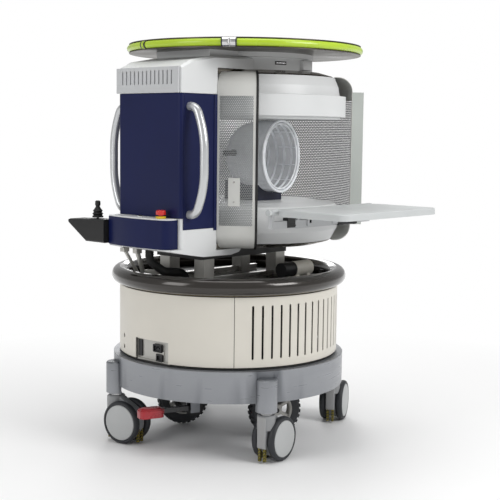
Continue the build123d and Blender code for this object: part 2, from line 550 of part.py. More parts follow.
# Clear head coil and its dark cradle
COIL_STEPS = ((0, 99.0, 128.0), (90, 103.0, 130.0), (170, 92.0, 116.0), (222, 58.0, 78.0), (240, 26.0, 40.0))
COIL_WALL = 5.0
with BuildPart() as head_coil:
    for offset, half_x, half_z in COIL_STEPS:
        with BuildSketch(Plane.XZ.offset(-(COIL_Y + offset))):
            with Locations((MAG_X, COIL_Z)):
                Ellipse(half_x, half_z)
    loft()
    for offset, half_x, half_z in COIL_STEPS[:-1]:
        with BuildSketch(Plane.XZ.offset(-(COIL_Y + offset - (1 if offset == 0 else 0)))):
            with Locations((MAG_X, COIL_Z)):
                Ellipse(half_x - COIL_WALL, half_z - COIL_WALL)
    loft(mode=Mode.SUBTRACT)
with BuildPart() as coil_cradle:
    block(MAG_X - 62, MAG_X + 62, -96, 70, LOW_TOP_Z, 912)
    for offset, half_x, half_z in COIL_STEPS:
        with BuildSketch(Plane.XZ.offset(-(COIL_Y + offset))):
            with Locations((MAG_X, COIL_Z)):
                Ellipse(half_x + SEAT_GAP, half_z + SEAT_GAP)
    loft(mode=Mode.SUBTRACT)
    with BuildSketch(radial_plane(0, MAG_X)) as dome:
        with BuildLine():
            Polyline((0, 820), (0, LOW_TOP_Z + LOW_DOME), (LOW_COVER_R - 80, LOW_TOP_Z + LOW_DOME - 1),
                     (LOW_COVER_R - 9, LOW_TOP_Z), (LOW_COVER_R - 9, 820), (0, 820))
        make_face()
    revolve(dome.sketch, axis=Axis((MAG_X, 0, 0), (0, 0, 1)), mode=Mode.SUBTRACT)

# Bowed grab handles on both sides
HANDLE_X, HANDLE_R, HANDLE_OUT = -350.0, 14.0, 69.0
HANDLE_Z0, HANDLE_Z1 = 818.0, 1170.0
with BuildPart() as grab_handles:
    for s in (-1, 1):
        with BuildLine(Plane(origin=(HANDLE_X, 0, 0), x_dir=(0, s, 0), z_dir=(s, 0, 0))) as bow:
            FilletPolyline((COL_Y, HANDLE_Z1), (COL_Y + 32, HANDLE_Z1), (COL_Y + HANDLE_OUT, HANDLE_Z1 - 90),
                           (COL_Y + HANDLE_OUT, HANDLE_Z0 + 90), (COL_Y + 32, HANDLE_Z0), (COL_Y, HANDLE_Z0),
                           radius=[38, 280, 280, 38])
        with BuildSketch(Plane(origin=(HANDLE_X, s * COL_Y, HANDLE_Z1), x_dir=(1, 0, 0), z_dir=(0, s, 0))) as rod:
            Circle(HANDLE_R)
        sweep(rod.sketch, path=bow.line)

# Top ring: dark U channel with tray
with BuildPart() as ring_channel:
    ring(CH_Z0, CH_Z1, CH_WALL, CH_IN, x0=RING_X)
    ring(CH_Z0, CH_Z0 + CH_T, CH_LIP, x0=RING_X)
    ring(CH_Z1 - CH_T, CH_Z1, CH_LIP, CH_IN, x0=RING_X)

# Lime guard tube: a fixed stretch and two arms, each hinged on the tube's outer side


def lime_arc(a0, a1, radius):
    with BuildSketch(radial_plane(a0, RING_X)) as cut:
        with Locations((RING_R, RING_Z)):
            Circle(radius)
    revolve(cut.sketch, axis=Axis((RING_X, 0, 0), (0, 0, 1)), revolution_arc=a1 - a0)


# Each hinge: its angle, sleeve radius, sleeve half span in degrees, pin offset from the tube's middle
ARM_TUBE_R = 12.5
HINGE_PIN_R, BARREL_R, BARREL_H, BARREL_GAP = 2.0, 4.0, 6.0, 0.3
SLEEVE_A = (PIN_A, 16.5, 3.5, 13.0)
SLEEVE_B = (PIN_B, 14.5, 2.0, 11.0)
SPLIT, SWING_LEAN = 0.1, 27.0


def clear_channel():
    # Keep the sleeves out of the channel's lips and wall
    ring(CH_Z0, CH_Z1, CH_WALL + 0.4, x0=RING_X, mode=Mode.SUBTRACT)
    ring(CH_Z0 - 4, CH_Z0 + CH_T + 0.4, CH_LIP + 0.4, x0=RING_X, mode=Mode.SUBTRACT)
    ring(CH_Z1 - CH_T - 0.4, CH_Z1 + 4, CH_LIP + 0.4, x0=RING_X, mode=Mode.SUBTRACT)


def hinge_end(hinge, way, fixed):
    # Sleeve half, swing relief and barrels; way is +1 where the piece lies at larger angles
    angle, sleeve_r, span, pin_out = hinge
    pin = polar(RING_R + pin_out, angle, RING_X)
    first, last = sorted((angle + way * SPLIT, angle + way * span))
    lime_arc(first, last, sleeve_r)
    clear_channel()
    frame = Location((pin[0], pin[1], RING_Z), (0, 0, 1), angle)
    # Relief on the outer side: everything above the line that leans SWING_LEAN degrees from the tube
    with BuildSketch(Plane(origin=(*pin, RING_Z - 30), x_dir=(*polar(1, angle), 0), z_dir=(0, 0, 1))) as wedge:
        with BuildLine():
            reach = 14.0
            slope = reach * math.tan(math.radians(SWING_LEAN))
            Polyline((0, 0), (slope, way * reach), (slope + 12, way * reach), (12, -way * 1.5),
                     (0, -way * 1.5), (0, 0))
        make_face()
    extrude(wedge.sketch, amount=60, mode=Mode.SUBTRACT)
    gap_h = BARREL_H + (BARREL_GAP if fixed else 0)
    with Locations(frame):
        if fixed:
            Cylinder(BARREL_R + 0.5, 2 * gap_h, mode=Mode.SUBTRACT)
            for z in (1, -1):
                with Locations((0, 0, z * (gap_h + 2.2))):
                    Cylinder(BARREL_R, 4.4)
            Cylinder(HINGE_PIN_R, 2 * gap_h + 8)
        else:
            for z in (1, -1):
                with Locations((0, 0, z * (gap_h + 8 + BARREL_GAP))):
                    Cylinder(BARREL_R + 0.5, 16, mode=Mode.SUBTRACT)
            Cylinder(BARREL_R, 2 * gap_h)
            Cylinder(HINGE_PIN_R + SHAFT_GAP, 60, mode=Mode.SUBTRACT)


with BuildPart() as guard_fixed:
    lime_arc(PIN_B + SPLIT, PIN_A - SPLIT, LIME_R)
    hinge_end(SLEEVE_A, -1, True)
    hinge_end(SLEEVE_B, 1, True)
    for a in (PIN_B + 8, 191, PIN_A - 8):
        with Locations(Location((*polar(CH_WALL + 5.5, a, RING_X), RING_Z), (0, 0, 1), a)):
            Box(11, 16, 10)
    ring(CH_Z0, CH_Z1, CH_WALL, x0=RING_X, mode=Mode.SUBTRACT)
with BuildPart() as guard_arm_a:
    lime_arc(PIN_A + SPLIT, MEET_A + 359.4, ARM_TUBE_R)
    hinge_end(SLEEVE_A, 1, False)
with BuildPart() as guard_arm_b:
    lime_arc(MEET_A + 0.6, PIN_B - SPLIT, ARM_TUBE_R)
    hinge_end(SLEEVE_B, -1, False)

# Bridge hinge: bar, lugs and mounting block on the lower pole cover
PIN_R = 4.0
LUG_XS = (-151.0, -24.0, 109.0, 242.0, 369.0)
LUG_T = 10.0
BAR_Y0, BAR_Y1 = HINGE_Y - 8, HINGE_Y + 12
with BuildPart() as bridge_hinge:
    block(LUG_XS[0] - LUG_T / 2, LUG_XS[-1] + LUG_T / 2, BAR_Y0, BAR_Y1, 772, 796)
    for x in LUG_XS:
        block(x - LUG_T / 2, x + LUG_T / 2, HINGE_Y - 8, BAR_Y1, 772, HINGE_Z - 4)
        with Locations(Location((x, HINGE_Y, HINGE_Z), (0, 1, 0), 90)):
            Cylinder(11, LUG_T)
    block(-10, 228, BAR_Y1 - 1, -230, 766, 802)
    block(16, 202, BAR_Y1, -200, 778, 790, mode=Mode.SUBTRACT)
    block(-81, -40, HINGE_Y - 11, BAR_Y0, 777, 782)
    block(-81, -40, HINGE_Y - 11, BAR_Y0, 801, 806)
    block(-81, -76, HINGE_Y - 11, BAR_Y0, 777, 806)
    block(-81, -40, BAR_Y0, BAR_Y1, 777, 806)
    block(18, 48, HINGE_Y - 14, BAR_Y1, 774, 806)
    with Locations(Location((33, HINGE_Y - 8, 789), (1, 0, 0), 90)):
        Cylinder(5, 20, mode=Mode.SUBTRACT)
    block(156, 184, HINGE_Y - 12, BAR_Y1, 774, 800)
    with Locations(Location((241, HINGE_Y - 9, 772), (0, 1, 0), 90)):
        Cylinder(5, 102)
    block(200, 212, HINGE_Y - 13, BAR_Y1, 767, 780)
    block(272, 284, HINGE_Y - 13, BAR_Y1, 767, 780)
    ring(700, 850, LOW_COVER_R + SEAT_GAP, x0=MAG_X, mode=Mode.SUBTRACT)
    with Locations(Location((MAG_X, HINGE_Y, HINGE_Z), (0, 1, 0), 90)):
        Cylinder(PIN_R + SHAFT_GAP, 700, mode=Mode.SUBTRACT)

# Folding bridge plate with knuckles, pin and end knobs
with BuildPart() as bridge:
    with BuildSketch(Plane.XY.offset(HINGE_Z - BRIDGE_T / 2)) as plate:
        with Locations((MAG_X, HINGE_Y - (BRIDGE_L + 17) / 2)):
            RectangleRounded(2 * BRIDGE_HALF, BRIDGE_L - 17, 34)
    extrude(plate.sketch, amount=BRIDGE_T)
    fillet(bridge.faces().sort_by(Axis.Z)[-1].edges(), radius=4)
    for i in range(len(LUG_XS) - 1):
        x0 = LUG_XS[i] + LUG_T / 2 + LOOSE_GAP
        x1 = LUG_XS[i + 1] - LUG_T / 2 - LOOSE_GAP
        with Locations(Location(((x0 + x1) / 2, HINGE_Y, HINGE_Z), (0, 1, 0), 90)):
            Cylinder(10.5, x1 - x0)
        block(max(x0, -110), min(x1, 328), HINGE_Y - 24, HINGE_Y, HINGE_Z - 8, HINGE_Z + 8)
    with Locations(Location((MAG_X, HINGE_Y, HINGE_Z), (0, 1, 0), 90)):
        Cylinder(PIN_R, 2 * (BRIDGE_HALF + 14))
    for s in (-1, 1):
        with Locations(Location((MAG_X + s * (BRIDGE_HALF + 9), HINGE_Y, HINGE_Z), (0, 1, 0), 90)):
            Cylinder(11, 12)

# Corrugated hose and two struts under the console
with BuildPart() as hose:
    with BuildLine() as hose_path:
        FilletPolyline(HOSE_TOP, (HOSE_TOP[0], HOSE_TOP[1], 650), (-312, 8, 612), (-215, 0, 600),
                       (-215, 0, 536), radius=36)
    with BuildSketch(Plane(origin=hose_path.line @ 0, z_dir=hose_path.line % 0)) as hose_cut:
        Circle(HOSE_R)
    sweep(hose_cut.sketch, path=hose_path.line)
STRUTS = (((-392, 118, 684), (-310, 118, DECK_Z1), 6.0), ((-372, 76, 680), (-318, 92, DECK_Z1), 8.0))
with BuildPart() as lift_struts:
    for top, foot, r in STRUTS:
        run = Vector(*top) - Vector(*foot)
        with BuildSketch(Plane(origin=foot, z_dir=run)) as rod_cut:
            Circle(r)
        extrude(rod_cut.sketch, amount=run.length)
        with Locations((foot[0], foot[1], DECK_Z1 + 5)):
            Box(30, 24, 10)
        block(top[0] - 12, top[0] + 12, top[1] - 10, top[1] + 10, top[2] - 6, 691.8)
    block(-440, -280, 40, 140, DECK_Z1 - 20, DECK_Z1, mode=Mode.SUBTRACT)
    add(lower_housing.part, mode=Mode.SUBTRACT)

# Casters: swivel housings with foot guards, and wheel pairs
CASTER_TURNS = (9.0, 280.5, 185.0, 27.0)
CASTER_POSTS = tuple(angle + CHASSIS_TURN for angle in (225.0, 135.0, 45.0, 315.0))
HOUSING_T, WHEEL_W, AXLE_R = 34.0, 25.0, 6.0


def make_fork(post_angle, turn):
    x, y = polar(POST_R, post_angle)
    side = side_plane(x, y, turn)
    with BuildPart() as fork:
        with BuildSketch(side.offset(-HOUSING_T / 2)) as hood:
            with Locations((CASTER_TRAIL, CASTER_WHEEL_R)):
                Circle(66)
            with BuildLine():
                Polyline((-31, 160), (31, 160), (CASTER_TRAIL + 8, 142), (CASTER_TRAIL, CASTER_WHEEL_R),
                         (-10, 52), (-31, 52), (-31, 160))
            make_face()
        extrude(hood.sketch, amount=HOUSING_T)
        with Locations((x, y, 155.5)):
            Cylinder(31, 15)
        with Locations((x, y, 165.5)):
            Cylinder(18, 12)
        with Locations((x, y, 196)):
            Cylinder(STEM_R - SHAFT_GAP, 60)
        with BuildSketch(side.offset(-14)) as tabs:
            with Locations((-22, 30), (CASTER_TRAIL + 55, 30)):
                Rectangle(12, 48)
        extrude(tabs.sketch, amount=9)
        extrude(tabs.sketch.moved(Location(side.z_dir * 19)), amount=9)
        with BuildSketch(side.offset(-HOUSING_T)) as axle_hole:
            with Locations((CASTER_TRAIL, CASTER_WHEEL_R)):
                Circle(AXLE_R + SHAFT_GAP)
        extrude(axle_hole.sketch, amount=2 * HOUSING_T, mode=Mode.SUBTRACT)
    return fork


def make_wheels(post_angle, turn):
    x, y = polar(POST_R, post_angle)
    side = side_plane(x, y, turn)
    cx, cy = polar(CASTER_TRAIL, turn, x, y)
    axle = Axis((cx, cy, CASTER_WHEEL_R), side.z_dir)
    with BuildPart() as wheels:
        with BuildSketch(Plane(origin=(cx, cy, CASTER_WHEEL_R), x_dir=side.z_dir, z_dir=-side.x_dir)) as half:
            with BuildLine():
                g = HOUSING_T / 2 + 1.5
                Polyline((-g - WHEEL_W - 1.5, 0), (-g - WHEEL_W - 1.5, 55), (-g - WHEEL_W, 62),
                         (-g - WHEEL_W + 1.5, 64), (-g - WHEEL_W, 66), (-g - WHEEL_W + 3, 72),
                         (-g - WHEEL_W + 9, CASTER_WHEEL_R), (-g - 6, CASTER_WHEEL_R), (-g, 71), (-g, AXLE_R),
                         (g, AXLE_R), (g, 71), (g + 6, CASTER_WHEEL_R), (g + WHEEL_W - 9, CASTER_WHEEL_R),
                         (g + WHEEL_W - 3, 72), (g + WHEEL_W, 66), (g + WHEEL_W - 1.5, 64), (g + WHEEL_W, 62),
                         (g + WHEEL_W + 1.5, 55), (g + WHEEL_W + 1.5, 0), (-g - WHEEL_W - 1.5, 0))
            make_face()
        revolve(half.sketch, axis=axle)
    return wheels


# Two drive wheels


def make_drive(s):
    place = drive_plane(s)
    out = place.x_dir
    hub = Vector(*place.origin) + Vector(0, 0, DRIVE_Z)
    with BuildPart() as wheel:
        with BuildSketch(Plane(origin=hub, x_dir=out, z_dir=out.cross(Vector(0, 0, 1)))) as half:
            with BuildLine():
                Polyline((-26, SHAFT_R + SHAFT_GAP), (-26, 22), (-15, 26), (-15, 54), (-22, 58), (-22, 86),
                         (-14, DRIVE_R), (14, DRIVE_R), (22, 86), (22, 60), (10, 56), (10, 26),
                         (24, 22), (24, SHAFT_R + SHAFT_GAP), (-26, SHAFT_R + SHAFT_GAP))
            make_face()
        revolve(half.sketch, axis=Axis(hub, out))
    return wheel


# Red release pedal on its arm
PAD_X0, PAD_X1, PAD_HALF = 112.0, 197.5, 25.0
with BuildPart() as pedal:
    with Locations(PEDAL_PLANE):
        with Locations((PAD_X0 / 2 + 4, 0, PEDAL_Z)):
            Box(PAD_X0 + 8, 20, 15)
        with Locations(Location((0, 0, PEDAL_Z), (1, 0, 0), 90)):
            Cylinder(13, 29)
            Cylinder(6 + SHAFT_GAP, 60, mode=Mode.SUBTRACT)
    for z0, z1, inset in ((-18, 7, 0), (7, 11, 3), (11, 14, 9)):
        with BuildSketch(PEDAL_PLANE.offset(PEDAL_Z + z0)) as pad:
            with Locations(((PAD_X0 + PAD_X1) / 2, 0)):
                RectangleRounded(PAD_X1 - PAD_X0 - 2 * inset, 2 * (PAD_HALF - inset), 15)
        extrude(pad.sketch, amount=z1 - z0)

for number, (post_angle, turn) in enumerate(zip(CASTER_POSTS, CASTER_TURNS), start=1):
    save(make_fork(post_angle, turn), f"caster_fork_{number}")
    save(make_wheels(post_angle, turn), f"caster_wheels_{number}")
save(make_drive(1), "drive_wheel_1")
save(make_drive(-1), "drive_wheel_2")

for sub, label in (
    (chassis_frame, "chassis_frame"), (cabinet_frame, "cabinet_frame"), (panel_front, "panel_front"),
    (panel_right, "panel_right"), (panel_back, "panel_back"), (panel_left, "panel_left"),
    (socket_plate, "socket_plate"), (handrail, "handrail"), (electronics_rack, "electronics_rack"),
    (battery_pack, "battery_pack"),
    (guide_rails, "guide_rails"), (carriages, "carriages"), (platform_beam, "platform_beam"),
    (actuator, "actuator"), (drive_motors, "drive_motors"), (lower_yoke, "lower_yoke"),
    (upper_yoke, "upper_yoke"), (yoke_column, "yoke_column"), (magnet_packs, "magnet_packs"),
    (lower_pole_cover, "lower_pole_cover"), (upper_pole_cover, "upper_pole_cover"),
    (column_frame, "column_frame"), (rear_panel, "rear_panel"), (side_panels, "side_panels"),
    (vent_grille, "vent_grille"), (top_housing, "top_housing"), (lower_housing, "lower_housing"),
    (console_body, "console_body"), (console_top, "console_top"), (stop_button, "stop_button"),
    (console_button, "console_button"), (joystick_pod, "joystick_pod"),
    (joystick_gimbal, "joystick_gimbal"), (joystick_stick, "joystick_stick"),
    (near_shield, "near_shield"), (far_shield, "far_shield"), (edge_trim, "edge_trim"),
    (side_post, "side_post"), (head_coil, "head_coil"), (coil_cradle, "coil_cradle"),
    (grab_handles, "grab_handles"), (ring_channel, "ring_channel"),
    (guard_fixed, "guard_fixed"), (guard_arm_a, "guard_arm_a"), (guard_arm_b, "guard_arm_b"),
    (bridge_hinge, "bridge_hinge"), (bridge, "bridge"), (hose, "hose"), (lift_struts, "lift_struts"),
    (pedal, "pedal"),
):
    save(sub, label)
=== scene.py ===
import math
from collections import namedtuple

import bmesh
import bpy
from mathutils import Matrix, Vector


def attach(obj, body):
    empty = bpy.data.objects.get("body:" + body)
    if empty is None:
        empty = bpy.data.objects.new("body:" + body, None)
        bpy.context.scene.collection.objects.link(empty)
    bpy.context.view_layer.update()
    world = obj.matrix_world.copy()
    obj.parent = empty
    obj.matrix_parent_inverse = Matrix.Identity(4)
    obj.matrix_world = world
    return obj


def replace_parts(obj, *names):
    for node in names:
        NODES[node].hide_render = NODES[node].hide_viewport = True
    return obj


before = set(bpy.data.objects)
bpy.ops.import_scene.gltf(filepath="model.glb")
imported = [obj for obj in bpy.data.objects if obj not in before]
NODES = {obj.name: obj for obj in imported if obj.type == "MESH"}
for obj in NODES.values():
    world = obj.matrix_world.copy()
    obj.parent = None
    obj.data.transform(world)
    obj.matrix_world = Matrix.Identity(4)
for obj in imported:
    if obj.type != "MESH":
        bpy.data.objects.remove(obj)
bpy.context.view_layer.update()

# Sizes are in mm and angles in degrees, in the base's own frame; this is the row frame's origin in it
X_MID, Y_MID = 17.85, -110.65


def V(x, y, z):
    """Point of the base's frame in mm, as a point of the scene in metres."""
    return Vector(((x - X_MID) / 1000, (y - Y_MID) / 1000, z / 1000))


def polar(radius, angle, x0=0.0, y0=0.0):
    a = math.radians(angle)
    return x0 + radius * math.cos(a), y0 + radius * math.sin(a)


# Shader nodes

MIX_SOCKETS = {"FLOAT": (2, 3, 0), "RGBA": (6, 7, 2)}  # two inputs and the output of a Mix node
NOISE_SPREAD = (0.3, 0.7)  # where most of a noise texture's values lie
WORN_EDGE = (0.52, 0.62)  # pointiness from which an edge starts to wear, and where it is bare
SLOW_DETAIL, FINE_DETAIL = 6, 4
RELIEF_DEPTH = 0.001  # metres
SMOOTHEST = 0.02


def new_material(name):
    material = bpy.data.materials.new(name)
    material.use_nodes = True
    return material, material.node_tree.nodes, material.node_tree.links


def feed(links, socket, value):
    """Links an output to a socket, or sets the socket to a plain value."""
    if isinstance(value, bpy.types.NodeSocket):
        links.new(value, socket)
    else:
        socket.default_value = value


def noise(nodes, links, vector, scale, detail):
    texture = nodes.new("ShaderNodeTexNoise")
    texture.inputs["Scale"].default_value = scale
    texture.inputs["Detail"].default_value = detail
    links.new(vector, texture.inputs["Vector"])
    return texture.outputs["Fac"]


def ranged(nodes, links, value, span, to=(0.0, 1.0)):
    node = nodes.new("ShaderNodeMapRange")
    node.inputs["From Min"].default_value, node.inputs["From Max"].default_value = span
    node.inputs["To Min"].default_value, node.inputs["To Max"].default_value = to
    links.new(value, node.inputs["Value"])
    return node.outputs[0]


def computed(nodes, links, operation, first, second):
    """Result of a Math node on two outputs or numbers."""
    node = nodes.new("ShaderNodeMath")
    node.operation = operation
    feed(links, node.inputs[0], first)
    feed(links, node.inputs[1], second)
    return node.outputs[0]


def mixed(nodes, links, mask, under, over, data_type="FLOAT"):
    """Under where the mask is 0 and over where it is 1."""
    node = nodes.new("ShaderNodeMix")
    node.data_type = data_type
    first, second, result = MIX_SOCKETS[data_type]
    links.new(mask, node.inputs[0])
    feed(links, node.inputs[first], under)
    feed(links, node.inputs[second], over)
    return node.outputs[result]


def finish(name, color, rough, metal=0.0, vary=0.06, grain=60.0, bump=0.05, fine=900.0, rough_vary=0.08,
           coat=0.0, coat_rough=0.1, alpha=1.0, stretch=(1, 1, 1), wear=None, specular=0.5):
    """Procedural finish: slow colour drift, roughness patches, fine bump and optional edge wear."""
    material, nodes, links = new_material(name)
    shader = nodes["Principled BSDF"]
    coords = nodes.new("ShaderNodeTexCoord")
    scale = nodes.new("ShaderNodeMapping")
    scale.inputs["Scale"].default_value = stretch
    links.new(coords.outputs["Object"], scale.inputs["Vector"])
    slow = noise(nodes, links, scale.outputs[0], grain, SLOW_DETAIL)
    tint = nodes.new("ShaderNodeVectorMath")
    tint.operation = "SCALE"
    tint.inputs[0].default_value = color
    links.new(ranged(nodes, links, slow, NOISE_SPREAD, (1 - vary, 1 + vary)), tint.inputs["Scale"])
    drifting = tint.outputs[0]
    if wear:
        geometry = nodes.new("ShaderNodeNewGeometry")
        edge = ranged(nodes, links, geometry.outputs["Pointiness"], WORN_EDGE)
        drifting = mixed(nodes, links, edge, drifting, (*wear, 1), "RGBA")
    links.new(drifting, shader.inputs["Base Color"])
    rough_range = (max(rough - rough_vary, SMOOTHEST), rough + rough_vary)
    links.new(ranged(nodes, links, slow, NOISE_SPREAD, rough_range), shader.inputs["Roughness"])
    for socket, value in (("Metallic", metal), ("Coat Weight", coat), ("Coat Roughness", coat_rough),
                          ("Specular IOR Level", specular), ("Alpha", alpha)):
        shader.inputs[socket].default_value = value
    relief = nodes.new("ShaderNodeBump")
    relief.inputs["Strength"].default_value = bump
    relief.inputs["Distance"].default_value = RELIEF_DEPTH
    links.new(noise(nodes, links, scale.outputs[0], fine, FINE_DETAIL), relief.inputs["Height"])
    links.new(relief.outputs[0], shader.inputs["Normal"])
    return material


def coords_of(nodes):
    """Object coordinates of a finish."""
    return next(node for node in nodes if node.type == "TEX_COORD").outputs["Object"]


def striped(name, color_a, color_b, scale):
    """Finish with slanted stripes of two colours, equally wide."""
    material = finish(name, color_a, 0.5, vary=0.1, grain=60, bump=0.15)
    nodes, links = material.node_tree.nodes, material.node_tree.links
    wave = nodes.new("ShaderNodeTexWave")
    wave.bands_direction = "DIAGONAL"
    wave.inputs["Scale"].default_value = scale
    links.new(coords_of(nodes), wave.inputs["Vector"])
    ramp = nodes.new("ShaderNodeValToRGB")
    ramp.color_ramp.interpolation = "CONSTANT"
    first, second = ramp.color_ramp.elements
    first.color = (*color_a, 1)
    second.position = 0.5
    second.color = (*color_b, 1)
    links.new(wave.outputs["Fac"], ramp.inputs[0])
    links.new(ramp.outputs[0], nodes["Principled BSDF"].inputs["Base Color"])
    return material


Zone = namedtuple("Zone", "centre turn half color metal rough")


def zoned(node_name, base, zones):
    """Copy of a finish for one CAD node, with another look inside each boxed zone."""
    material = base.copy()
    material.name = f"{node_name}_finish"
    nodes, links = material.node_tree.nodes, material.node_tree.links
    shader = nodes["Principled BSDF"]
    to_local = NODES[node_name].matrix_world.inverted()
    color = shader.inputs["Base Color"].links[0].from_socket
    rough = shader.inputs["Roughness"].links[0].from_socket
    metal = shader.inputs["Metallic"].default_value
    for zone in zones:
        # a Mapping node of this type takes the zone's box to one that reaches 1 each way
        fit = nodes.new("ShaderNodeMapping")
        fit.vector_type = "TEXTURE"
        fit.inputs["Location"].default_value = to_local @ V(*zone.centre)
        fit.inputs["Rotation"].default_value = (0, 0, math.radians(zone.turn) + to_local.to_euler().z)
        fit.inputs["Scale"].default_value = [half / 1000 for half in zone.half]
        links.new(coords_of(nodes), fit.inputs["Vector"])
        reach = nodes.new("ShaderNodeVectorMath")
        reach.operation = "ABSOLUTE"
        links.new(fit.outputs[0], reach.inputs[0])
        split = nodes.new("ShaderNodeSeparateXYZ")
        links.new(reach.outputs[0], split.inputs[0])
        furthest = computed(nodes, links, "MAXIMUM", split.outputs[0], split.outputs[1])
        furthest = computed(nodes, links, "MAXIMUM", furthest, split.outputs[2])
        inside = computed(nodes, links, "LESS_THAN", furthest, 1.0)
        color = mixed(nodes, links, inside, color, (*zone.color, 1), "RGBA")
        rough = mixed(nodes, links, inside, rough, zone.rough)
        metal = mixed(nodes, links, inside, metal, zone.metal)
    links.new(color, shader.inputs["Base Color"])
    links.new(rough, shader.inputs["Roughness"])
    links.new(metal, shader.inputs["Metallic"])
    return material


# Materials

SILVER = finish("silver_paint", (0.07, 0.077, 0.088), 0.34, metal=0.45, vary=0.12, grain=9, bump=0.08,
                fine=900, stretch=(1, 1, 18), wear=(0.3, 0.31, 0.33))
CREAM = finish("cream_paint", (0.69, 0.66, 0.59), 0.4, vary=0.03, grain=5, bump=0.05, fine=1100)
DARK = finish("dark_frame", (0.02, 0.019, 0.018), 0.5, vary=0.2, grain=12, bump=0.08)
BAND = finish("vent_band", (0.14, 0.11, 0.06), 0.4, metal=0.5, vary=0.2, grain=20, bump=0.1)
RAIL = finish("dark_steel", (0.032, 0.027, 0.023), 0.16, metal=0.4, vary=0.12, grain=14, bump=0.04,
              fine=500, stretch=(1, 1, 8), rough_vary=0.05, coat=0.5, coat_rough=0.12)
NAVY = finish("navy_paint", (0.005, 0.009, 0.058), 0.42, vary=0.08, grain=6, bump=0.05, fine=1300,
              specular=0.2)
WHITE = finish("white_shell", (0.72, 0.73, 0.73), 0.38, vary=0.02, grain=5, bump=0.04, fine=900)
GRILLE = finish("light_grey_grille", (0.55, 0.56, 0.57), 0.45, vary=0.03, grain=8, bump=0.05, fine=1000)
SHEET = finish("shield_sheet", (0.64, 0.64, 0.61), 0.42, metal=0.05, vary=0.04, grain=8, bump=0.05,
               fine=900)
# Painted shade: the near shield's perforated stretch is the same sheet as its bands, painted darker for
# the shade that shows through its holes
SHADED_NEAR_MESH = finish("near_shield_mesh_painted_shade", (0.3, 0.31, 0.31), 0.45, metal=0.1, vary=0.05, grain=8,
                    bump=0.05)
# Painted shade: the far shield's perforated sheet, seen from inside the bore, painted dark for the shade
# there; its bands keep the light sheet colour
SHADED_FAR_SHEET = finish("far_shield_painted_shade", (0.12, 0.125, 0.13), 0.5, metal=0.3, vary=0.05, grain=8,
                    bump=0.05)
PLASTIC = finish("black_plastic", (0.007, 0.007, 0.008), 0.38, vary=0.15, grain=30, bump=0.12, fine=1800,
                 wear=(0.02, 0.02, 0.02), specular=0.25)
RUBBER = finish("black_rubber", (0.01, 0.01, 0.01), 0.6, vary=0.2, grain=25, bump=0.2, fine=1500)
LIME = finish("lime_guard", (0.44, 0.62, 0.02), 0.3, vary=0.05, grain=10, bump=0.04, fine=700, coat=0.3)
RED = finish("red_plastic", (0.62, 0.02, 0.015), 0.3, vary=0.06, grain=30, bump=0.05, fine=900, coat=0.3)
PEDAL_RED = finish("pedal_red", (0.33, 0.004, 0.012), 0.28, vary=0.12, grain=30, bump=0.06, fine=900,
                   coat=0.4)
YELLOW = finish("yellow_collar", (0.7, 0.5, 0.01), 0.4, vary=0.06, grain=30, bump=0.05, fine=900)
STEEL = finish("polished_steel", (0.5, 0.49, 0.47), 0.3, metal=1.0, vary=0.07, grain=10, bump=0.05,
               fine=600, stretch=(1, 1, 6))
YOKE = finish("yoke_plate", (0.3, 0.275, 0.24), 0.26, metal=1.0, vary=0.15, grain=8, bump=0.08, fine=500,
              stretch=(1, 1, 6))
IRON = finish("magnet_iron", (0.1, 0.1, 0.11), 0.55, metal=0.6, vary=0.15, grain=20, bump=0.15)
ALLOY = finish("carriage_metal", (0.5, 0.49, 0.46), 0.38, metal=0.6, vary=0.06, grain=20, bump=0.06)
CHROME = finish("chrome_sleeve", (0.62, 0.62, 0.62), 0.12, metal=1.0, vary=0.04, grain=10, bump=0.02)
CASTER = finish("caster_shell", (0.2, 0.21, 0.22), 0.45, vary=0.06, grain=20, bump=0.12, fine=1600,
                wear=(0.35, 0.35, 0.35))
HUBCAP = finish("hub_cap", (0.45, 0.46, 0.46), 0.42, vary=0.04, grain=12, bump=0.06, fine=1200)
TYRE = finish("caster_tyre", (0.02, 0.022, 0.026), 0.55, vary=0.15, grain=20, bump=0.15, fine=1000)
GREY_TOP = finish("bridge_top", (0.56, 0.58, 0.58), 0.4, vary=0.03, grain=6, bump=0.06, fine=1100)
COIL_DARK = finish("coil_navy", (0.012, 0.014, 0.035), 0.4, vary=0.1, grain=15, bump=0.06)
MOTOR = finish("motor_black", (0.008, 0.008, 0.009), 0.4, vary=0.15, grain=20, bump=0.12)
RIM = finish("drive_rim", (0.5, 0.49, 0.46), 0.45, vary=0.08, grain=25, bump=0.08)
TRAY = finish("tray_bronze", (0.085, 0.075, 0.06), 0.33, metal=0.7, vary=0.15, grain=6, bump=0.05,
              fine=600)
POST = finish("side_post_paint", (0.52, 0.55, 0.52), 0.4, vary=0.03, grain=6, bump=0.05, fine=1000)
HANDLE = finish("handle_metal", (0.6, 0.61, 0.62), 0.25, metal=0.6, vary=0.02, grain=8, bump=0.01,
                fine=2500, rough_vary=0.02)
BLUE = finish("blue_connector", (0.01, 0.08, 0.45), 0.4, vary=0.1, grain=30, bump=0.08)
CLEAR = finish("clear_shell", (0.95, 0.97, 1.0), 0.08, vary=0.1, grain=30, bump=0.5, fine=90, alpha=0.46,
               coat=0.6, coat_rough=0.05, rough_vary=0.05)
CLEAR_RIB = finish("clear_rib", (0.95, 0.97, 1.0), 0.12, vary=0.12, grain=40, bump=0.3, fine=120,
                   alpha=0.95, coat=0.5, coat_rough=0.05, rough_vary=0.06)
GUARD = striped("foot_guard", (0.2, 0.16, 0.005), (0.035, 0.03, 0.01), 60)

# CAD nodes of one finish each

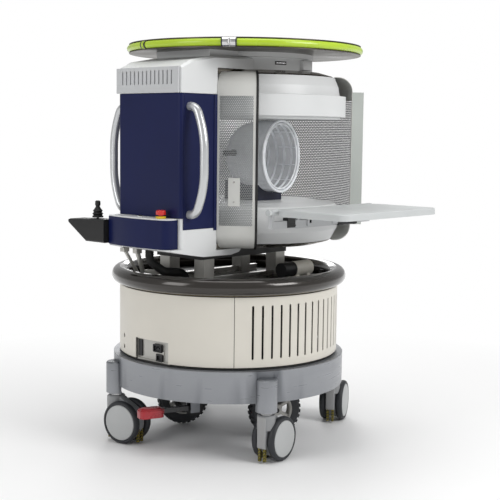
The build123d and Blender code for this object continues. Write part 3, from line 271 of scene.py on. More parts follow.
PAINT = {
    SILVER: ["chassis_frame"],
    DARK: ["cabinet_frame", "electronics_rack", "platform_beam"],
    CREAM: ["panel_front", "panel_right", "panel_back", "panel_left"],
    POST: ["side_post"],
    STEEL: ["guide_rails", "joystick_gimbal"],
    RAIL: ["handrail"],
    PLASTIC: ["battery_pack", "joystick_pod", "console_button"],
    ALLOY: ["carriages", "lift_struts"],
    MOTOR: ["drive_motors"],
    YOKE: ["lower_yoke", "upper_yoke"],
    IRON: ["yoke_column", "magnet_packs"],
    WHITE: ["lower_pole_cover", "upper_pole_cover", "column_frame", "top_housing", "lower_housing",
            "console_top"],
    NAVY: ["rear_panel", "side_panels", "console_body"],
    GRILLE: ["vent_grille"],
    HANDLE: ["grab_handles"],
    SHEET: ["near_shield"],
    SHADED_FAR_SHEET: ["far_shield"],
    RUBBER: ["edge_trim", "hose", "joystick_stick"],
    COIL_DARK: ["coil_cradle"],
    CLEAR: ["head_coil"],
    TRAY: ["ring_channel"],
    GREY_TOP: ["bridge"],
    RED: ["stop_button"],
    CASTER: [f"caster_fork_{i}" for i in range(1, 5)],
    TYRE: [f"caster_wheels_{i}" for i in range(1, 5)] + [f"drive_wheel_{i}" for i in (1, 2)],
}


def paint(node_name, material):
    materials = NODES[node_name].data.materials
    materials.clear()
    materials.append(material)


for material, node_names in PAINT.items():
    for node_name in node_names:
        paint(node_name, material)

# CAD nodes with zones of another look: the guard ring, sockets and a slot with painted shade in their
# mouths, pedal, actuator and hinge

BLACK, BRIGHT = (0.012, 0.012, 0.013), (0.66, 0.66, 0.66)
GRAPHITE, GUNMETAL = (0.02, 0.02, 0.022), (0.03, 0.03, 0.032)

RING_X, RING_R, RING_Z, RING_REACH = 72.0, 408.2, 1377.0, 34.0
# each sleeve's angle, half width, how far in from its edges its dark rings lie, and their half width
CHROME_SLEEVE, BLACK_SLEEVE = (216.1, 3.5, 0.3, 0.33), (168.0, 2.0, 0.5, 0.52)
SLEEVE_LAP = 0.02


def ring_zone(angle, half_width, color, metal, rough):
    """Zone across the guard's tube; its half width is an angle."""
    x, y = polar(RING_R, angle, RING_X)
    half = (RING_REACH, RING_R * math.radians(half_width), RING_REACH)
    return Zone((x, y, RING_Z), angle, half, color, metal, rough)


guard_zones = [ring_zone(CHROME_SLEEVE[0], CHROME_SLEEVE[1] + SLEEVE_LAP, BRIGHT, 1.0, 0.14)]
for side in (-1, 1):
    for middle, half_width, inset, dark_half in (CHROME_SLEEVE, BLACK_SLEEVE):
        guard_zones.append(ring_zone(middle + side * (half_width - inset), dark_half, BLACK, 0.0, 0.45))

SOCKET_A, SOCKET_FACE, SOCKET_DEPTH = 181.6, 376.0, 9.0
PEDAL_X, PEDAL_Y, PEDAL_TURN = -268.0, -93.0, 159.0
pedal_arm = polar(50, PEDAL_TURN, PEDAL_X, PEDAL_Y)
HINGE_Y = -338.0


def socket_and_shade_zone(across, z, half_across, half_z):
    """Black mouth on the flat plate, for a socket's black plastic and the painted shade in its recess.
    """
    x, y = polar(across, SOCKET_A + 90, *polar(SOCKET_FACE + 3, SOCKET_A))
    return Zone((x, y, z), SOCKET_A, (SOCKET_DEPTH, half_across, half_z), BLACK, 0.0, 0.4)


ZONED = {
    # an inlet and a network socket, then a slot whose black is all painted shade for its opening
    "socket_plate": (ALLOY, [socket_and_shade_zone(23, 361, 19.3, 13.3), socket_and_shade_zone(30, 329, 14.3, 12.8),
                             socket_and_shade_zone(-64, 352, 8.3, 28.3)]),
    "guard_fixed": (LIME, guard_zones),
    "guard_arm_a": (LIME, guard_zones),
    "guard_arm_b": (LIME, guard_zones),
    "pedal": (PEDAL_RED, [Zone((*pedal_arm, 150), PEDAL_TURN, (59.5, 60, 60), GRAPHITE, 0.3, 0.4)]),
    "actuator": (CREAM, [Zone((107, -180, 601), 0, (32.5, 60, 60), GRAPHITE, 0.2, 0.4)]),
    "bridge_hinge": (GRILLE, [Zone((-60.5, HINGE_Y, 790), 0, (21.2, 14, 17.5), BLACK, 0.0, 0.45),
                              Zone((241, HINGE_Y - 9, 772), 0, (52, 6, 6), GUNMETAL, 0.5, 0.35),
                              Zone((33, HINGE_Y - 12, 789), 0, (5.2, 22, 5.2), BLACK, 0.0, 0.6)]),
}
for node_name, (base, zones) in ZONED.items():
    paint(node_name, zoned(node_name, base, zones))

# Mesh helpers

CREASE = 35.0  # faces that meet at a larger angle keep a sharp edge
WELD, THIN = 1e-6, 1e-7  # metres
BEVEL_STEPS = 3


def place(name, mesh, material, body, smooth):
    obj = bpy.data.objects.new(name, mesh)
    bpy.context.scene.collection.objects.link(obj)
    mesh.materials.append(material)
    if smooth:
        for face in mesh.polygons:
            face.use_smooth = True
        mesh.set_sharp_from_angle(angle=math.radians(smooth))
    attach(obj, body)
    return obj


def from_bmesh(name, work, material, body, smooth=CREASE):
    mesh = bpy.data.meshes.new(name)
    bmesh.ops.recalc_face_normals(work, faces=work.faces)
    work.to_mesh(mesh)
    work.free()
    return place(name, mesh, material, body, smooth)


def from_faces(name, verts, faces, material, body, smooth=CREASE):
    work = bmesh.new()
    points = [work.verts.new(v) for v in verts]
    for face in faces:
        work.faces.new([points[i] for i in face])
    return from_bmesh(name, work, material, body, smooth)


def frame_of(origin, axis):
    """Matrix at origin whose z is the axis and whose x is as near up as can be."""
    z = Vector(axis).normalized()
    up = Vector((0, 0, 1))
    if abs(z.dot(up)) > 0.99:
        up = Vector((1, 0, 0))
    x = (up - z * up.dot(z)).normalized()
    matrix = Matrix((x, z.cross(x), z)).transposed().to_4x4()
    matrix.translation = V(*origin)
    return matrix


def turned(centre, turn=0.0):
    """Matrix at centre, turned about the vertical."""
    return Matrix.Translation(V(*centre)) @ Matrix.Rotation(math.radians(turn), 4, "Z")


def lathe(name, origin, axis, profile, material, body, seg=64, closed=True):
    """Turns a profile of (radius, height) about the axis."""
    matrix = frame_of(origin, axis)
    size = len(profile)
    work = bmesh.new()
    points = []
    for i in range(seg):
        a = math.radians(360 * i / seg)
        for r, h in profile:
            points.append(work.verts.new(
                matrix @ Vector((r * math.cos(a) / 1000, r * math.sin(a) / 1000, h / 1000))))
    for i in range(seg):
        j = (i + 1) % seg
        for p in range(size if closed else size - 1):
            q = (p + 1) % size
            corners = (i * size + p, j * size + p, j * size + q, i * size + q)
            work.faces.new([points[c] for c in corners])
    bmesh.ops.remove_doubles(work, verts=work.verts, dist=WELD)
    bmesh.ops.dissolve_degenerate(work, edges=work.edges, dist=THIN)
    return from_bmesh(name, work, material, body)


def sweep(name, points, radii, material, body, seg=20, closed=False, smooth=60.0):
    """Round tube along points; radii is one number or a list with one for each point."""
    pts = [V(*p) for p in points]
    count = len(pts)
    radii = radii if isinstance(radii, list) else [radii] * count
    verts, faces = [], []
    normal = None
    for i, (point, radius) in enumerate(zip(pts, radii)):
        if closed:
            along = (pts[(i + 1) % count] - pts[i - 1]).normalized()
        else:
            along = (pts[min(i + 1, count - 1)] - pts[max(i - 1, 0)]).normalized()
        if normal is None:
            normal = Vector((0, 0, 1)) if abs(along.z) < 0.9 else along.orthogonal().normalized()
        normal = (normal - along * normal.dot(along)).normalized()
        side = along.cross(normal)
        for s in range(seg):
            a = 2 * math.pi * s / seg
            verts.append(point + (normal * math.cos(a) + side * math.sin(a)) * radius / 1000)
    for i in range(count if closed else count - 1):
        j = (i + 1) % count
        for s in range(seg):
            e = (s + 1) % seg
            faces.append((i * seg + s, i * seg + e, j * seg + e, j * seg + s))
    if not closed:
        faces.append(tuple(reversed(range(seg))))
        faces.append(tuple((count - 1) * seg + s for s in range(seg)))
    return from_faces(name, verts, faces, material, body, smooth)


def rounded(name, matrix, size, edge, material, body):
    """Box of one size about the matrix's origin, with rounded edges."""
    work = bmesh.new()
    bmesh.ops.create_cube(work, size=1.0)
    bmesh.ops.scale(work, vec=Vector(size) / 1000, verts=work.verts)
    bmesh.ops.bevel(work, geom=work.edges[:], offset=edge / 1000, segments=BEVEL_STEPS, profile=0.5,
                    affect="EDGES")
    bmesh.ops.transform(work, matrix=matrix, verts=work.verts)
    return from_bmesh(name, work, material, body)


# Shields: two curved sheets of one drum about the magnet, with a perforated stretch at mid height

MAG_X, SHIELD_R, SHEET_T = 109.0, 368.0, 1.5
DRUM_LOW, BAND_LOW, BAND_HIGH, DRUM_HIGH = 696.0, 776.0, 1207.0, 1290.0
EDGE_R, EDGE_STEPS, FOOT_R = 53.0, 8, 302.0
MESH_LAP, WALL_LAP = 3.0, 2.0  # how far the perforated sheet and its end strips reach over the bands
WELD_GRID = 50  # neighbouring cells share a corner that rounds to the same 1/50 mm
NUDGE = 1e-3  # how far a hole is off the middle of its cell


def drum(r, angle, z):
    x, y = polar(r, angle, MAG_X)
    return V(x, y, z)


def rolled(top):
    """Section of a band, from the mesh to its foot on the drum's end: outer side, then inner side."""
    start, end, way = (BAND_HIGH, DRUM_HIGH, -1) if top else (BAND_LOW, DRUM_LOW, 1)
    centre_r, centre_z = SHIELD_R - EDGE_R, end + way * EDGE_R
    outer, inner = [(SHIELD_R, start)], [(SHIELD_R - SHEET_T, start)]
    for i in range(EDGE_STEPS + 1):
        a = math.radians(90 * i / EDGE_STEPS)
        for line, radius in ((outer, EDGE_R), (inner, EDGE_R - SHEET_T)):
            line.append((centre_r + radius * math.cos(a), centre_z - way * radius * math.sin(a)))
    outer.append((FOOT_R, end))
    inner.append((FOOT_R, end + way * SHEET_T))
    return outer + inner[::-1]


def shell_arc(name, profile, a0, a1, material, seg):
    """Section of (radius, z) turned about the magnet from angle a0 to a1."""
    verts, faces = [], []
    size = len(profile)
    for i in range(seg + 1):
        a = a0 + (a1 - a0) * i / seg
        verts += [drum(r, a, z) for r, z in profile]
    for i in range(seg):
        for p in range(size):
            q = (p + 1) % size
            faces.append((i * size + p, (i + 1) * size + p, (i + 1) * size + q, i * size + q))
    faces.append(tuple(range(size)))
    faces.append(tuple(seg * size + p for p in reversed(range(size))))
    return from_faces(name, verts, faces, material, "scanner")


def lattice(name, a0, a1, pitch, hole, material):
    """Sheet with staggered six-sided holes on the drum."""
    r = SHIELD_R - SHEET_T / 2
    z0, z1 = BAND_LOW - MESH_LAP, BAND_HIGH + MESH_LAP
    step = math.degrees(pitch / r)
    row = pitch * math.sqrt(3) / 2
    corner = pitch / math.sqrt(3)
    verts, faces, index = [], [], {}

    def vert(u, z):
        key = (round(u * WELD_GRID), round(z * WELD_GRID))
        if key not in index:
            index[key] = len(verts)
            verts.append(drum(r, a0 + math.degrees(u / r), z))
        return index[key]

    for j in range(int((z1 - z0) / row)):
        z = z0 + row * (j + 0.5)
        for i in range(int((a1 - a0) / step)):
            u = pitch * (i + 0.5 + 0.5 * (j % 2))
            if a0 + math.degrees(u / r) > a1 - step / 2:
                continue
            outer, inner = [], []
            for c in range(6):
                t = math.radians(60 * c + 30)
                outer.append(vert(u + corner * math.cos(t), z + corner * math.sin(t)))
                inner.append(vert(u + hole * math.cos(t) + NUDGE, z + hole * math.sin(t) + NUDGE))
            for c in range(6):
                d = (c + 1) % 6
                faces.append((outer[c], outer[d], inner[d], inner[c]))
    return from_faces(name, verts, faces, material, "scanner", smooth=60)


NEAR_A0, NEAR_A1, NEAR_EDGE = 205.0, 225.3, 1.3
FAR_A0, FAR_A1, FAR_EDGE = 315.0, 515.0, 2.5
FLANGE_X, FLANGE_Y, FLANGE_W, FLANGE_T = -230.2, 155.3, 15.6, 2.4
STRIP_A, STRIP_HALF, STRIP_LOW, STRIP_TOP = 214.3, 3.1, 842.0, 936.0
STRIP_IN, STRIP_OUT = SHIELD_R - 2, SHIELD_R + 0.3

low_band, top_band = rolled(False), rolled(True)
wall = [(SHIELD_R, BAND_LOW - WALL_LAP), (SHIELD_R, BAND_HIGH + WALL_LAP),
        (SHIELD_R - SHEET_T, BAND_HIGH + WALL_LAP), (SHIELD_R - SHEET_T, BAND_LOW - WALL_LAP)]
strip = [(STRIP_OUT, STRIP_LOW), (STRIP_OUT, STRIP_TOP), (STRIP_IN, STRIP_TOP), (STRIP_IN, STRIP_LOW)]
screw = [(0, 2.2), (2.0, 2.0), (3.2, 1.2), (3.4, 0), (0, 0)]

near = [shell_arc("near_shield_low_band", low_band, NEAR_A0, NEAR_A1, SHEET, 12),
        shell_arc("near_shield_top_band", top_band, NEAR_A0, NEAR_A1, SHEET, 12),
        lattice("near_shield_mesh", NEAR_A0, NEAR_A1, 6.5, 2.7, SHADED_NEAR_MESH),
        shell_arc("near_shield_edge", wall, NEAR_A1 - NEAR_EDGE, NEAR_A1, SHEET, 2),
        shell_arc("near_shield_back_edge", wall, NEAR_A0, NEAR_A0 + NEAR_EDGE, SHEET, 2),
        shell_arc("near_shield_strip", strip, STRIP_A - STRIP_HALF, STRIP_A + STRIP_HALF, SHEET, 4)]
for level in (922, 856):
    near.append(lathe(f"strip_screw_{level}", (*polar(SHIELD_R, STRIP_A, MAG_X), level),
                      (*polar(1, STRIP_A), 0), screw, STEEL, "scanner", 20))
near.append(rounded("near_shield_flange", turned((FLANGE_X, -FLANGE_Y, 986)), (FLANGE_W, FLANGE_T, 451),
                    0.8, NAVY, "scanner"))
for piece in near:
    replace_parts(piece, "near_shield")

far = [shell_arc("far_shield_low_band", low_band, FAR_A0, FAR_A1, SHEET, 72),
       shell_arc("far_shield_top_band", top_band, FAR_A0, FAR_A1, SHEET, 72),
       lattice("far_shield_mesh", FAR_A0, FAR_A1, 7.6, 2.3, SHADED_FAR_SHEET),
       shell_arc("far_shield_edge", wall, FAR_A0, FAR_A0 + FAR_EDGE, SHEET, 3),
       shell_arc("far_shield_back_edge", wall, FAR_A1 - FAR_EDGE, FAR_A1, SHEET, 3),
       rounded("far_shield_flange", turned((FLANGE_X, FLANGE_Y, 992)), (FLANGE_W, FLANGE_T, 463),
               0.8, SHEET, "scanner")]
for piece in far:
    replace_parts(piece, "far_shield")

# The trim follows the outer side of both bands, as far as the ends of their bends
TRIM_A, TRIM_HALF, TRIM_SINK = 226.05, 4.2, 0.6
BEND_END = EDGE_STEPS + 2
trim_path = [(*polar(r - TRIM_SINK, TRIM_A, MAG_X), z)
             for r, z in low_band[:BEND_END][::-1] + top_band[:BEND_END]]
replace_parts(sweep("edge_trim_seal", trim_path, TRIM_HALF, RUBBER, "scanner", seg=12),
            "edge_trim")

# Casters: a hood over two wheels that trail its stem

CASTER_TURNS = (9.0, 280.5, 185.0, 27.0)
CASTER_POSTS = (242.0, 152.0, 62.0, 332.0)
POST_R, TRAIL, WHEEL_R, WHEEL_W, WHEEL_GAP = 413.5, 48.0, 75.0, 25.0, 1.5
HOOD_R, HOOD_HALF, HOOD_TOP, HOOD_FOOT, CAP_R = 64.0, 17.0, 158.0, 50.0, 31.0
HOOD_ROUND = 4.0
ARC_FROM, ARC_STEP, ARC_COUNT = 215.0, 11.5, 19
GUARD_SIZE, GUARD_Z, GUARD_SIDE = (11.5, 8.5, 47), 30.5, 9.5
AXLE_R, AXLE_OVER = 5.9, 4.0

hood_outline = [(-CAP_R, HOOD_TOP), (-CAP_R, HOOD_FOOT + 4), (5 - CAP_R, HOOD_FOOT), (-12, HOOD_FOOT)]
for s in range(ARC_COUNT):
    hood_outline.append(polar(HOOD_R, ARC_FROM + s * ARC_STEP, TRAIL, WHEEL_R))
hood_outline += [(TRAIL + 6, HOOD_TOP - 15), (CAP_R, HOOD_TOP)]

cap_profile = [(0, 112), (CAP_R - 2, 112), (CAP_R, 114), (CAP_R, 159), (CAP_R - 3, 162.5), (17, 162.5),
               (0, 162.5)]
collar_profile = [(0, 162), (20.5, 162), (21.5, 163), (21.5, 166), (19, 167), (19, 170.5), (18, 171.4),
                  (0, 171.4)]
stem_profile = [(0, 170), (10.9, 170), (10.9, 225), (0, 225)]

# wheel profiles as (radius, distance from the middle of the caster)
IN = HOOD_HALF + WHEEL_GAP
OUT = IN + WHEEL_W
axle_profile = [(0, -IN - AXLE_OVER), (AXLE_R, -IN - AXLE_OVER), (AXLE_R, IN + AXLE_OVER),
                (0, IN + AXLE_OVER)]
WHEEL_PIECES = (
    ("tyre", TYRE, True, [(30, IN + 2), (62, IN + 1), (69, IN + 1), (73, IN + 4), (WHEEL_R, IN + 9),
                          (WHEEL_R, OUT - 9), (73, OUT - 3), (69, OUT), (63.5, OUT), (62.5, OUT - 1.5),
                          (62, OUT - 3), (30, OUT - 4)]),
    ("hub_cap", HUBCAP, False, [(0, OUT - 5), (61.5, OUT - 5), (61.8, OUT - 1.5), (60, OUT + 0.4),
                                (54, OUT + 1.3), (0, OUT + 1.5)]),
    ("hub", CASTER, False, [(0, IN), (26, IN), (34, IN + 2), (58, IN + 3), (60, IN + 4), (60, IN + 8),
                            (0, IN + 8)]),
)


def caster_hood(name, matrix, body):
    """Outline as (trail, up), as wide as the hood, with both rims rounded."""
    work = bmesh.new()
    near_side, far_side = ([work.verts.new((u / 1000, v / 1000, w / 1000)) for u, v in hood_outline]
                           for w in (-HOOD_HALF, HOOD_HALF))
    work.faces.new(near_side)
    work.faces.new(far_side[::-1])
    for s in range(len(hood_outline)):
        e = (s + 1) % len(hood_outline)
        work.faces.new((near_side[e], near_side[s], far_side[s], far_side[e]))
    bmesh.ops.recalc_face_normals(work, faces=work.faces)
    rims = [edge for edge in work.edges if abs(edge.verts[0].co.z - edge.verts[1].co.z) < WELD]
    bmesh.ops.bevel(work, geom=rims, offset=HOOD_ROUND / 1000, segments=BEVEL_STEPS, profile=0.5,
                    affect="EDGES")
    bmesh.ops.transform(work, matrix=matrix, verts=work.verts)
    return from_bmesh(name, work, CASTER, body)


for i, (post, turn) in enumerate(zip(CASTER_POSTS, CASTER_TURNS), start=1):
    stem_x, stem_y = polar(POST_R, post)
    wheel_x, wheel_y = polar(TRAIL, turn, stem_x, stem_y)
    stem_at, wheel_at = (stem_x, stem_y, 0), (wheel_x, wheel_y, WHEEL_R)
    a = math.radians(turn)
    side = Vector((math.sin(a), -math.cos(a), 0))
    local = Matrix(((math.cos(a), 0, side.x), (math.sin(a), 0, side.y), (0, 1, 0))).to_4x4()
    local.translation = V(*stem_at)
    fork_body, wheel_body = f"caster_fork_{i}", f"caster_wheels_{i}"

    fork_parts = [
        caster_hood(f"caster_hood_{i}", local, fork_body),
        lathe(f"caster_cap_{i}", stem_at, (0, 0, 1), cap_profile, CASTER, fork_body, 48),
        lathe(f"caster_collar_{i}", stem_at, (0, 0, 1), collar_profile, CHROME, fork_body,
              48),
        lathe(f"caster_stem_{i}", stem_at, (0, 0, 1), stem_profile, STEEL, fork_body,
              32)]
    for end, u in (("n", -22), ("f", TRAIL + 55)):
        for tag, w in (("a", -GUARD_SIDE), ("b", GUARD_SIDE)):
            foot = Matrix.Translation(local @ Vector((u / 1000, GUARD_Z / 1000, w / 1000)))
            fork_parts.append(rounded(f"foot_guard_{i}_{end}{tag}", foot @ Matrix.Rotation(a, 4, "Z"),
                                      GUARD_SIZE, 1.2, GUARD, fork_body))
    for piece in fork_parts:
        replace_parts(piece, fork_body)

    wheel_parts = [lathe(f"caster_axle_{i}", wheel_at, side, axle_profile, STEEL, wheel_body,
                         24)]
    for way, tag in ((1, "a"), (-1, "b")):
        for label, material, closed, profile in WHEEL_PIECES:
            wheel_parts.append(lathe(f"caster_{label}_{i}{tag}", wheel_at, side * way, profile, material,
                                     wheel_body, 72, closed))
    for piece in wheel_parts:
        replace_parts(piece, wheel_body)

# Drive wheels: a spoked rim and a tyre with three staggered rows of lugs

DRIVE_Z, DRIVE_OUT = 101.0, 186.0
SPOKES, SPOKE_SIZE, SPOKE_R = 6, (36, 12, 26), 37.5
LUGS, LUG_SIZE, LUG_R, LUG_ROW = 30, (6.4, 11, 11.8), 91.5, 12.0
DRIVE_PIECES = (
    ("tyre", TYRE, "drive_tyre", 64, [(60, -21), (84, -22), (90.5, -16), (90.5, 16), (84, 22), (60, 21),
                                      (58, 16), (58, -16)]),
    ("rim", RIM, "light_grey", 64, [(54, -16), (60, -19), (61, 0), (60, 22), (54, 18), (52, 0)]),
    ("hub", RIM, "light_grey", 40, [(9.1, -25), (20, -25), (22, -22), (22, 20), (20, 23.5),
                                    (9.1, 23.5)]),
)
for i, at_angle, axis_angle in ((1, 288.0, 242.0), (2, 108.0, 422.0)):
    body = f"drive_wheel_{i}"
    hub = (*polar(DRIVE_OUT, at_angle), DRIVE_Z)
    axis = Vector((*polar(1, axis_angle), 0))
    parts = [lathe(f"drive_{label}_{i}", hub, axis, profile, material, body, seg)
             for label, material, slot, seg, profile in DRIVE_PIECES]
    wheel = frame_of(hub, axis)
    for n in range(SPOKES):
        spoke = (wheel @ Matrix.Rotation(math.radians(360 / SPOKES * n), 4, "Z")
                 @ Matrix.Translation((SPOKE_R / 1000, 0, 0)))
        parts.append(rounded(f"drive_spoke_{i}{n}", spoke, SPOKE_SIZE, 3, RIM, body))
    work = bmesh.new()
    lug_box = Matrix.Diagonal((*(edge / 1000 for edge in LUG_SIZE), 1))
    for n in range(LUGS):
        for shift, z in ((0, -LUG_ROW), (0.5, 0), (0, LUG_ROW)):
            turn = Matrix.Rotation(math.radians(360 / LUGS * (n + shift)), 4, "Z")
            at = Matrix.Translation((LUG_R / 1000, 0, z / 1000))
            bmesh.ops.create_cube(work, size=1.0, matrix=wheel @ turn @ at @ lug_box)
    parts.append(from_bmesh(f"drive_lugs_{i}", work, TYRE, body, smooth=None))
    for piece in parts:
        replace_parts(piece, body)

# Head coil: two clear skins, with a rim, windings and ribs between them

COIL_Y, COIL_Z, COIL_SEG, RING_SEG = -150.0, 1004.0, 64, 72
SKIN_GAP, RIB_COUNT, RIB_R, WINDING_R = 8, 12, 3.4, 4.6
# (distance behind the mouth, half width, half height)
OUTER_SKIN = [(3, 97, 126), (20, 100, 128), (60, 102, 129.5), (100, 102, 129), (140, 97, 122),
              (170, 91, 115), (200, 76, 98), (222, 57, 77), (236, 32, 46), (239, 12, 18)]
WINDINGS = [(34, 95, 122), (70, 96, 123), (106, 95.5, 122.5), (142, 91, 116), (176, 84, 107)]


def coil_point(offset, half_x, half_z, a):
    """Point at angle a, in radians, of an oval about the coil's axis."""
    return MAG_X + half_x * math.cos(a), COIL_Y + offset, COIL_Z + half_z * math.sin(a)


def coil_ring(name, offset, half_x, half_z, tube_r):
    points = [coil_point(offset, half_x, half_z, 2 * math.pi * s / RING_SEG) for s in range(RING_SEG)]
    return sweep(name, points, tube_r, CLEAR_RIB, "scanner", seg=10, closed=True)


def coil_skin(name, ovals):
    """Skin through ovals, open at the first and closed at the last."""
    verts = [V(*coil_point(*oval, 2 * math.pi * s / COIL_SEG))
             for oval in ovals for s in range(COIL_SEG)]
    faces = []
    for i in range(len(ovals) - 1):
        for s in range(COIL_SEG):
            e = (s + 1) % COIL_SEG
            faces.append((i * COIL_SEG + s, (i + 1) * COIL_SEG + s, (i + 1) * COIL_SEG + e,
                          i * COIL_SEG + e))
    last = (len(ovals) - 1) * COIL_SEG
    faces.append(tuple(last + s for s in range(COIL_SEG)))
    return from_faces(name, verts, faces, CLEAR, "scanner", smooth=50)


mouth, *rest = OUTER_SKIN[:-1]
inner_skin = [(mouth[0] + 1, mouth[1] - SKIN_GAP, mouth[2] - SKIN_GAP)]
inner_skin += [(offset - 6, half_x - SKIN_GAP, half_z - SKIN_GAP) for offset, half_x, half_z in rest]
coil = [coil_skin("coil_outer_skin", OUTER_SKIN),
        coil_skin("coil_inner_skin", inner_skin),
        coil_ring("coil_rim", 2.6, 96.0, 125.0, WINDING_R),
        coil_ring("coil_rim_inner", 5.0, 86.0, 115.0, 3.2)]
for n, (offset, half_x, half_z) in enumerate(WINDINGS):
    coil.append(coil_ring(f"coil_winding_{n}", offset, half_x - 2, half_z - 2, WINDING_R))
for n in range(RIB_COUNT):
    a = math.radians(15 + 360 / RIB_COUNT * n)
    points = [coil_point(offset, half_x - 5, half_z - 5, a)
              for offset, half_x, half_z in [(mouth[0] + 3, *mouth[1:]), *rest]]
    coil.append(sweep(f"coil_rib_{n}", points, RIB_R, CLEAR_RIB, "scanner", seg=10))
for piece in coil:
    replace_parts(piece, "head_coil")

lathe("coil_port", (16, -10, 1014), (-1, 0, 0),
      [(0, 0), (11, 0), (12, 2), (12, 14), (10, 16), (9, 40), (10.5, 41), (10.5, 52), (9, 54), (0, 54)],
      PLASTIC, "scanner", 32)

# Hose: ribbed tube from the column to the deck, along the CAD hose

HOSE_ROUTE = [(-354, 34, 690), (-354, 34, 650), (-312, 8, 612), (-215, 0, 600), (-215, 0, 536)]
HOSE_BEND, HOSE_STEP, HOSE_R, GROOVE_R = 36.0, 1.1, 15.0, 13.2
RIB_PITCH, RIB_WIDTH = 5, 3  # in steps


def bent_route(route, radius, step):
    """Straight runs joined by arcs of one radius, as points about a step apart on the arcs."""
    route = [Vector(point) for point in route]
    out = [route[0]]
    for before, corner, after in zip(route, route[1:], route[2:]):
        back, ahead = (before - corner).normalized(), (after - corner).normalized()
        half = back.angle(ahead) / 2
        cut = radius / math.tan(half)
        centre = corner + (back + ahead).normalized() * (radius / math.sin(half))
        first, last = corner + back * cut - centre, corner + ahead * cut - centre
        turn = first.angle(last)
        count = max(4, int(turn * radius / step))
        for c in range(count + 1):
            t = c / count
            blend = first * math.sin((1 - t) * turn) + last * math.sin(t * turn)
            out.append(centre + blend / math.sin(turn))
    return out + [route[-1]]


def evenly(line, step):
    """Points one step apart along a line."""
    out, walked = [line[0]], 0.0
    for start, end in zip(line, line[1:]):
        span = (end - start).length
        while walked + span >= step:
            start = start + (end - start) * ((step - walked) / span)
            out.append(start)
            span = (end - start).length
            walked = 0.0
        walked += span
    return out


hose_line = evenly(bent_route(HOSE_ROUTE, HOSE_BEND, HOSE_STEP), HOSE_STEP)
hose_radii = [HOSE_R if n % RIB_PITCH < RIB_WIDTH else GROOVE_R for n in range(len(hose_line))]
hose = sweep("hose_ribbed", hose_line, hose_radii, RUBBER, "scanner", seg=24,
             smooth=None)
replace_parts(hose, "hose")

# Fittings on the panels, the deck, the upper pole's neck and the console

HOLE_FACE, HOLE_A = 386.0, 155.8
# Black rim in each panel hole; its closed black middle is painted shade for the hole's depth
for n, z in enumerate((378, 339)):
    lathe(f"panel_hole_shade_{n}", (*polar(HOLE_FACE, HOLE_A), z), (*polar(1, HOLE_A), 0),
          [(0, 0), (7.2, 0), (7.7, 0.8), (7.7, 2.4), (6.8, 3.4), (6.2, 2.0), (0, 1.6)],
          PLASTIC, "scanner", 28)
lathe("band_rim", (0, 0, 0), (0, 0, 1),
      [(386.7, 551.5), (387.6, 552.3), (387.6, 554.6), (386.7, 555.6), (383, 555.6), (383, 551.5)],
      BAND, "scanner", 128)

BRACKET_X, BRACKET_Y, BRACKET_W, BRACKET_TURN = -231, 152, 62, -136
bracket_wall = (*polar(-20, BRACKET_TURN + 180, BRACKET_X, BRACKET_Y), 583)
rounded("deck_bracket", turned((BRACKET_X, BRACKET_Y, 566), BRACKET_TURN), (44, BRACKET_W, 4), 1.0,
        ALLOY, "scanner")
rounded("deck_bracket_wall", turned(bracket_wall, BRACKET_TURN), (4, BRACKET_W, 36), 1.2,
        ALLOY, "scanner")
rounded("deck_connector", turned((-262, 166, 578), BRACKET_TURN), (16, 16, 24), 2.0,
        BLUE, "scanner")

CABLE_Z, CABLE_R, CABLE_STEPS = 567.6, 3.4, 24
SWAY, SWAY_STEP = 4, 0.6  # how far a cable wanders from its circle, and the wave's radians for each step
for n, (radius, a0, a1) in enumerate(((334.0, 118.0, 168.0), (326.0, 124.0, 176.0),
                                      (331.0, 196.0, 238.0))):
    route = []
    for c in range(CABLE_STEPS + 1):
        angle = a0 + (a1 - a0) * c / CABLE_STEPS
        route.append((*polar(radius + SWAY * math.sin(c * SWAY_STEP), angle), CABLE_Z))
    sweep(f"deck_cable_{n}", route, CABLE_R, RUBBER, "scanner", seg=10)

NECK_R, SLOT_A, BLOCK_A = 218.0, 250, 281
rounded("neck_slot", turned((*polar(NECK_R - 0.4, SLOT_A, MAG_X), 1326), SLOT_A), (3.0, 44, 12), 1.0,
        PLASTIC, "scanner")
rounded("neck_strip", turned((*polar(NECK_R + 1.0, SLOT_A, MAG_X), 1326), SLOT_A), (1.6, 38, 4), 0.6,
        CHROME, "scanner")
rounded("neck_block", turned((*polar(NECK_R + 4, BLOCK_A, MAG_X), 1322), BLOCK_A), (20, 60, 34), 2.5,
        WHITE, "scanner")

lathe("stop_collar", (-415, -89, 0), (0, 0, 1),
      [(8.3, 805), (15.5, 805), (17, 806), (17, 811), (15.5, 812.5), (8.3, 812.5)],
      YELLOW, "scanner", 40)

# Floor, in metres: pale near the object, where it keeps the shadow, and seen as white further out

FLOOR_HALF = 30
FADE = (0.6, 2.2)

floor_material, nodes, links = new_material("pale_floor")
shader = nodes["Principled BSDF"]
shader.inputs["Roughness"].default_value = 0.7
shader.inputs["Base Color"].default_value = (0.9, 0.9, 0.9, 1)
glow = nodes.new("ShaderNodeEmission")
glow.inputs["Color"].default_value = (1, 1, 1, 1)
rays = nodes.new("ShaderNodeLightPath")
seen = computed(nodes, links, "MAXIMUM", rays.outputs["Is Camera Ray"], rays.outputs["Is Glossy Ray"])
coords = nodes.new("ShaderNodeTexCoord")
distance = nodes.new("ShaderNodeVectorMath")
distance.operation = "LENGTH"
links.new(coords.outputs["Object"], distance.inputs[0])
fade = ranged(nodes, links, distance.outputs["Value"], FADE)
blend = nodes.new("ShaderNodeMixShader")
links.new(computed(nodes, links, "MULTIPLY", fade, seen), blend.inputs[0])
links.new(shader.outputs[0], blend.inputs[1])
links.new(glow.outputs[0], blend.inputs[2])
links.new(blend.outputs[0], nodes["Material Output"].inputs["Surface"])

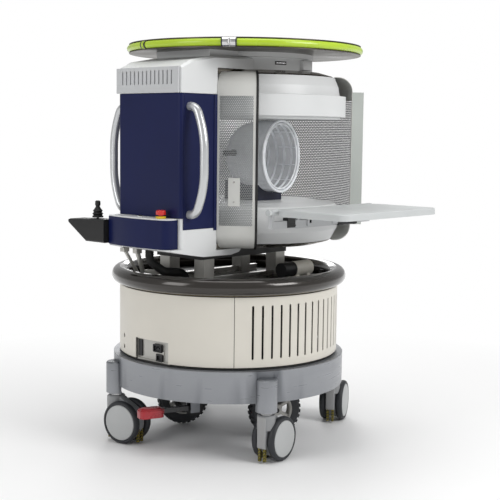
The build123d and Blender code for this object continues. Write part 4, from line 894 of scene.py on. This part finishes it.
mesh = bpy.data.meshes.new("floor")
mesh.from_pydata([(-FLOOR_HALF, -FLOOR_HALF, 0), (FLOOR_HALF, -FLOOR_HALF, 0),
                  (FLOOR_HALF, FLOOR_HALF, 0), (-FLOOR_HALF, FLOOR_HALF, 0)], [], [(0, 1, 2, 3)])
mesh.materials.append(floor_material)
floor = bpy.data.objects.new("floor", mesh)
bpy.context.scene.collection.objects.link(floor)

# World: dim white light, and full white where the camera sees it

WORLD_LIGHT = 0.45

world = bpy.data.worlds.new("studio")
bpy.context.scene.world = world
world.use_nodes = True
nodes, links = world.node_tree.nodes, world.node_tree.links
soft, white = nodes["Background"], nodes.new("ShaderNodeBackground")
for background, strength in ((soft, WORLD_LIGHT), (white, 1.0)):
    background.inputs["Color"].default_value = (1, 1, 1, 1)
    background.inputs["Strength"].default_value = strength
rays = nodes.new("ShaderNodeLightPath")
seen = computed(nodes, links, "MAXIMUM", rays.outputs["Is Camera Ray"],
                rays.outputs["Is Transmission Ray"])
blend = nodes.new("ShaderNodeMixShader")
links.new(seen, blend.inputs[0])
links.new(soft.outputs[0], blend.inputs[1])
links.new(white.outputs[0], blend.inputs[2])
links.new(blend.outputs[0], nodes["World Output"].inputs["Surface"])

# Lamps, in metres and watts


def lamp(name, at, aim, size, watts):
    data = bpy.data.lights.new(name, "AREA")
    data.shape = "RECTANGLE"
    data.size, data.size_y = size
    data.energy = watts
    obj = bpy.data.objects.new(name, data)
    bpy.context.scene.collection.objects.link(obj)
    obj.location = at
    obj.rotation_euler = (Vector(aim) - Vector(at)).to_track_quat("-Z", "Y").to_euler()


lamp("key", (0.6, -3.4, 2.6), (0, 0, 0.8), (1.6, 1.6), 70)
lamp("side", (-3.6, 0.6, 2.0), (0, 0, 0.8), (1.4, 2.0), 30)
lamp("top", (0.1, 0.1, 3.6), (0, 0, 0.8), (2.4, 2.4), 45)
lamp("back", (2.4, 2.6, 2.2), (0, 0, 0.9), (1.4, 1.8), 35)

# Camera, as fitted to the photograph; the focal length is in pixels of its frame

AZIMUTH, PITCH, YAW, ROLL = (math.radians(q) for q in (-46.0284, 6.21377, 1.0938, 0.65714))
DISTANCE, HEIGHT, FOCAL, FRAME_WIDTH, SENSOR = 3936.09, 1093.80, 1096.88, 500, 36.0

up = Vector((0, 0, 1))
away = Vector((math.sin(AZIMUTH), -math.cos(AZIMUTH), 0))
across = Vector((math.cos(AZIMUTH), math.sin(AZIMUTH), 0))
ahead = -away * math.cos(YAW) + across * math.sin(YAW)
across = across * math.cos(YAW) + away * math.sin(YAW)
look = ahead * math.cos(PITCH) - up * math.sin(PITCH)
above = ahead * math.sin(PITCH) + up * math.cos(PITCH)
pose = Matrix((across * math.cos(ROLL) + above * math.sin(ROLL),
               above * math.cos(ROLL) - across * math.sin(ROLL), -look)).transposed().to_4x4()
spot = away * DISTANCE
pose.translation = V(spot.x, spot.y, HEIGHT)

camera = bpy.data.objects.new("camera", bpy.data.cameras.new("camera"))
bpy.context.scene.collection.objects.link(camera)
camera.matrix_world = pose
camera.data.sensor_width = SENSOR
camera.data.lens = FOCAL / FRAME_WIDTH * SENSOR
camera.data.clip_end = 200
bpy.context.scene.camera = camera

bpy.context.scene.view_settings.view_transform = "Standard"
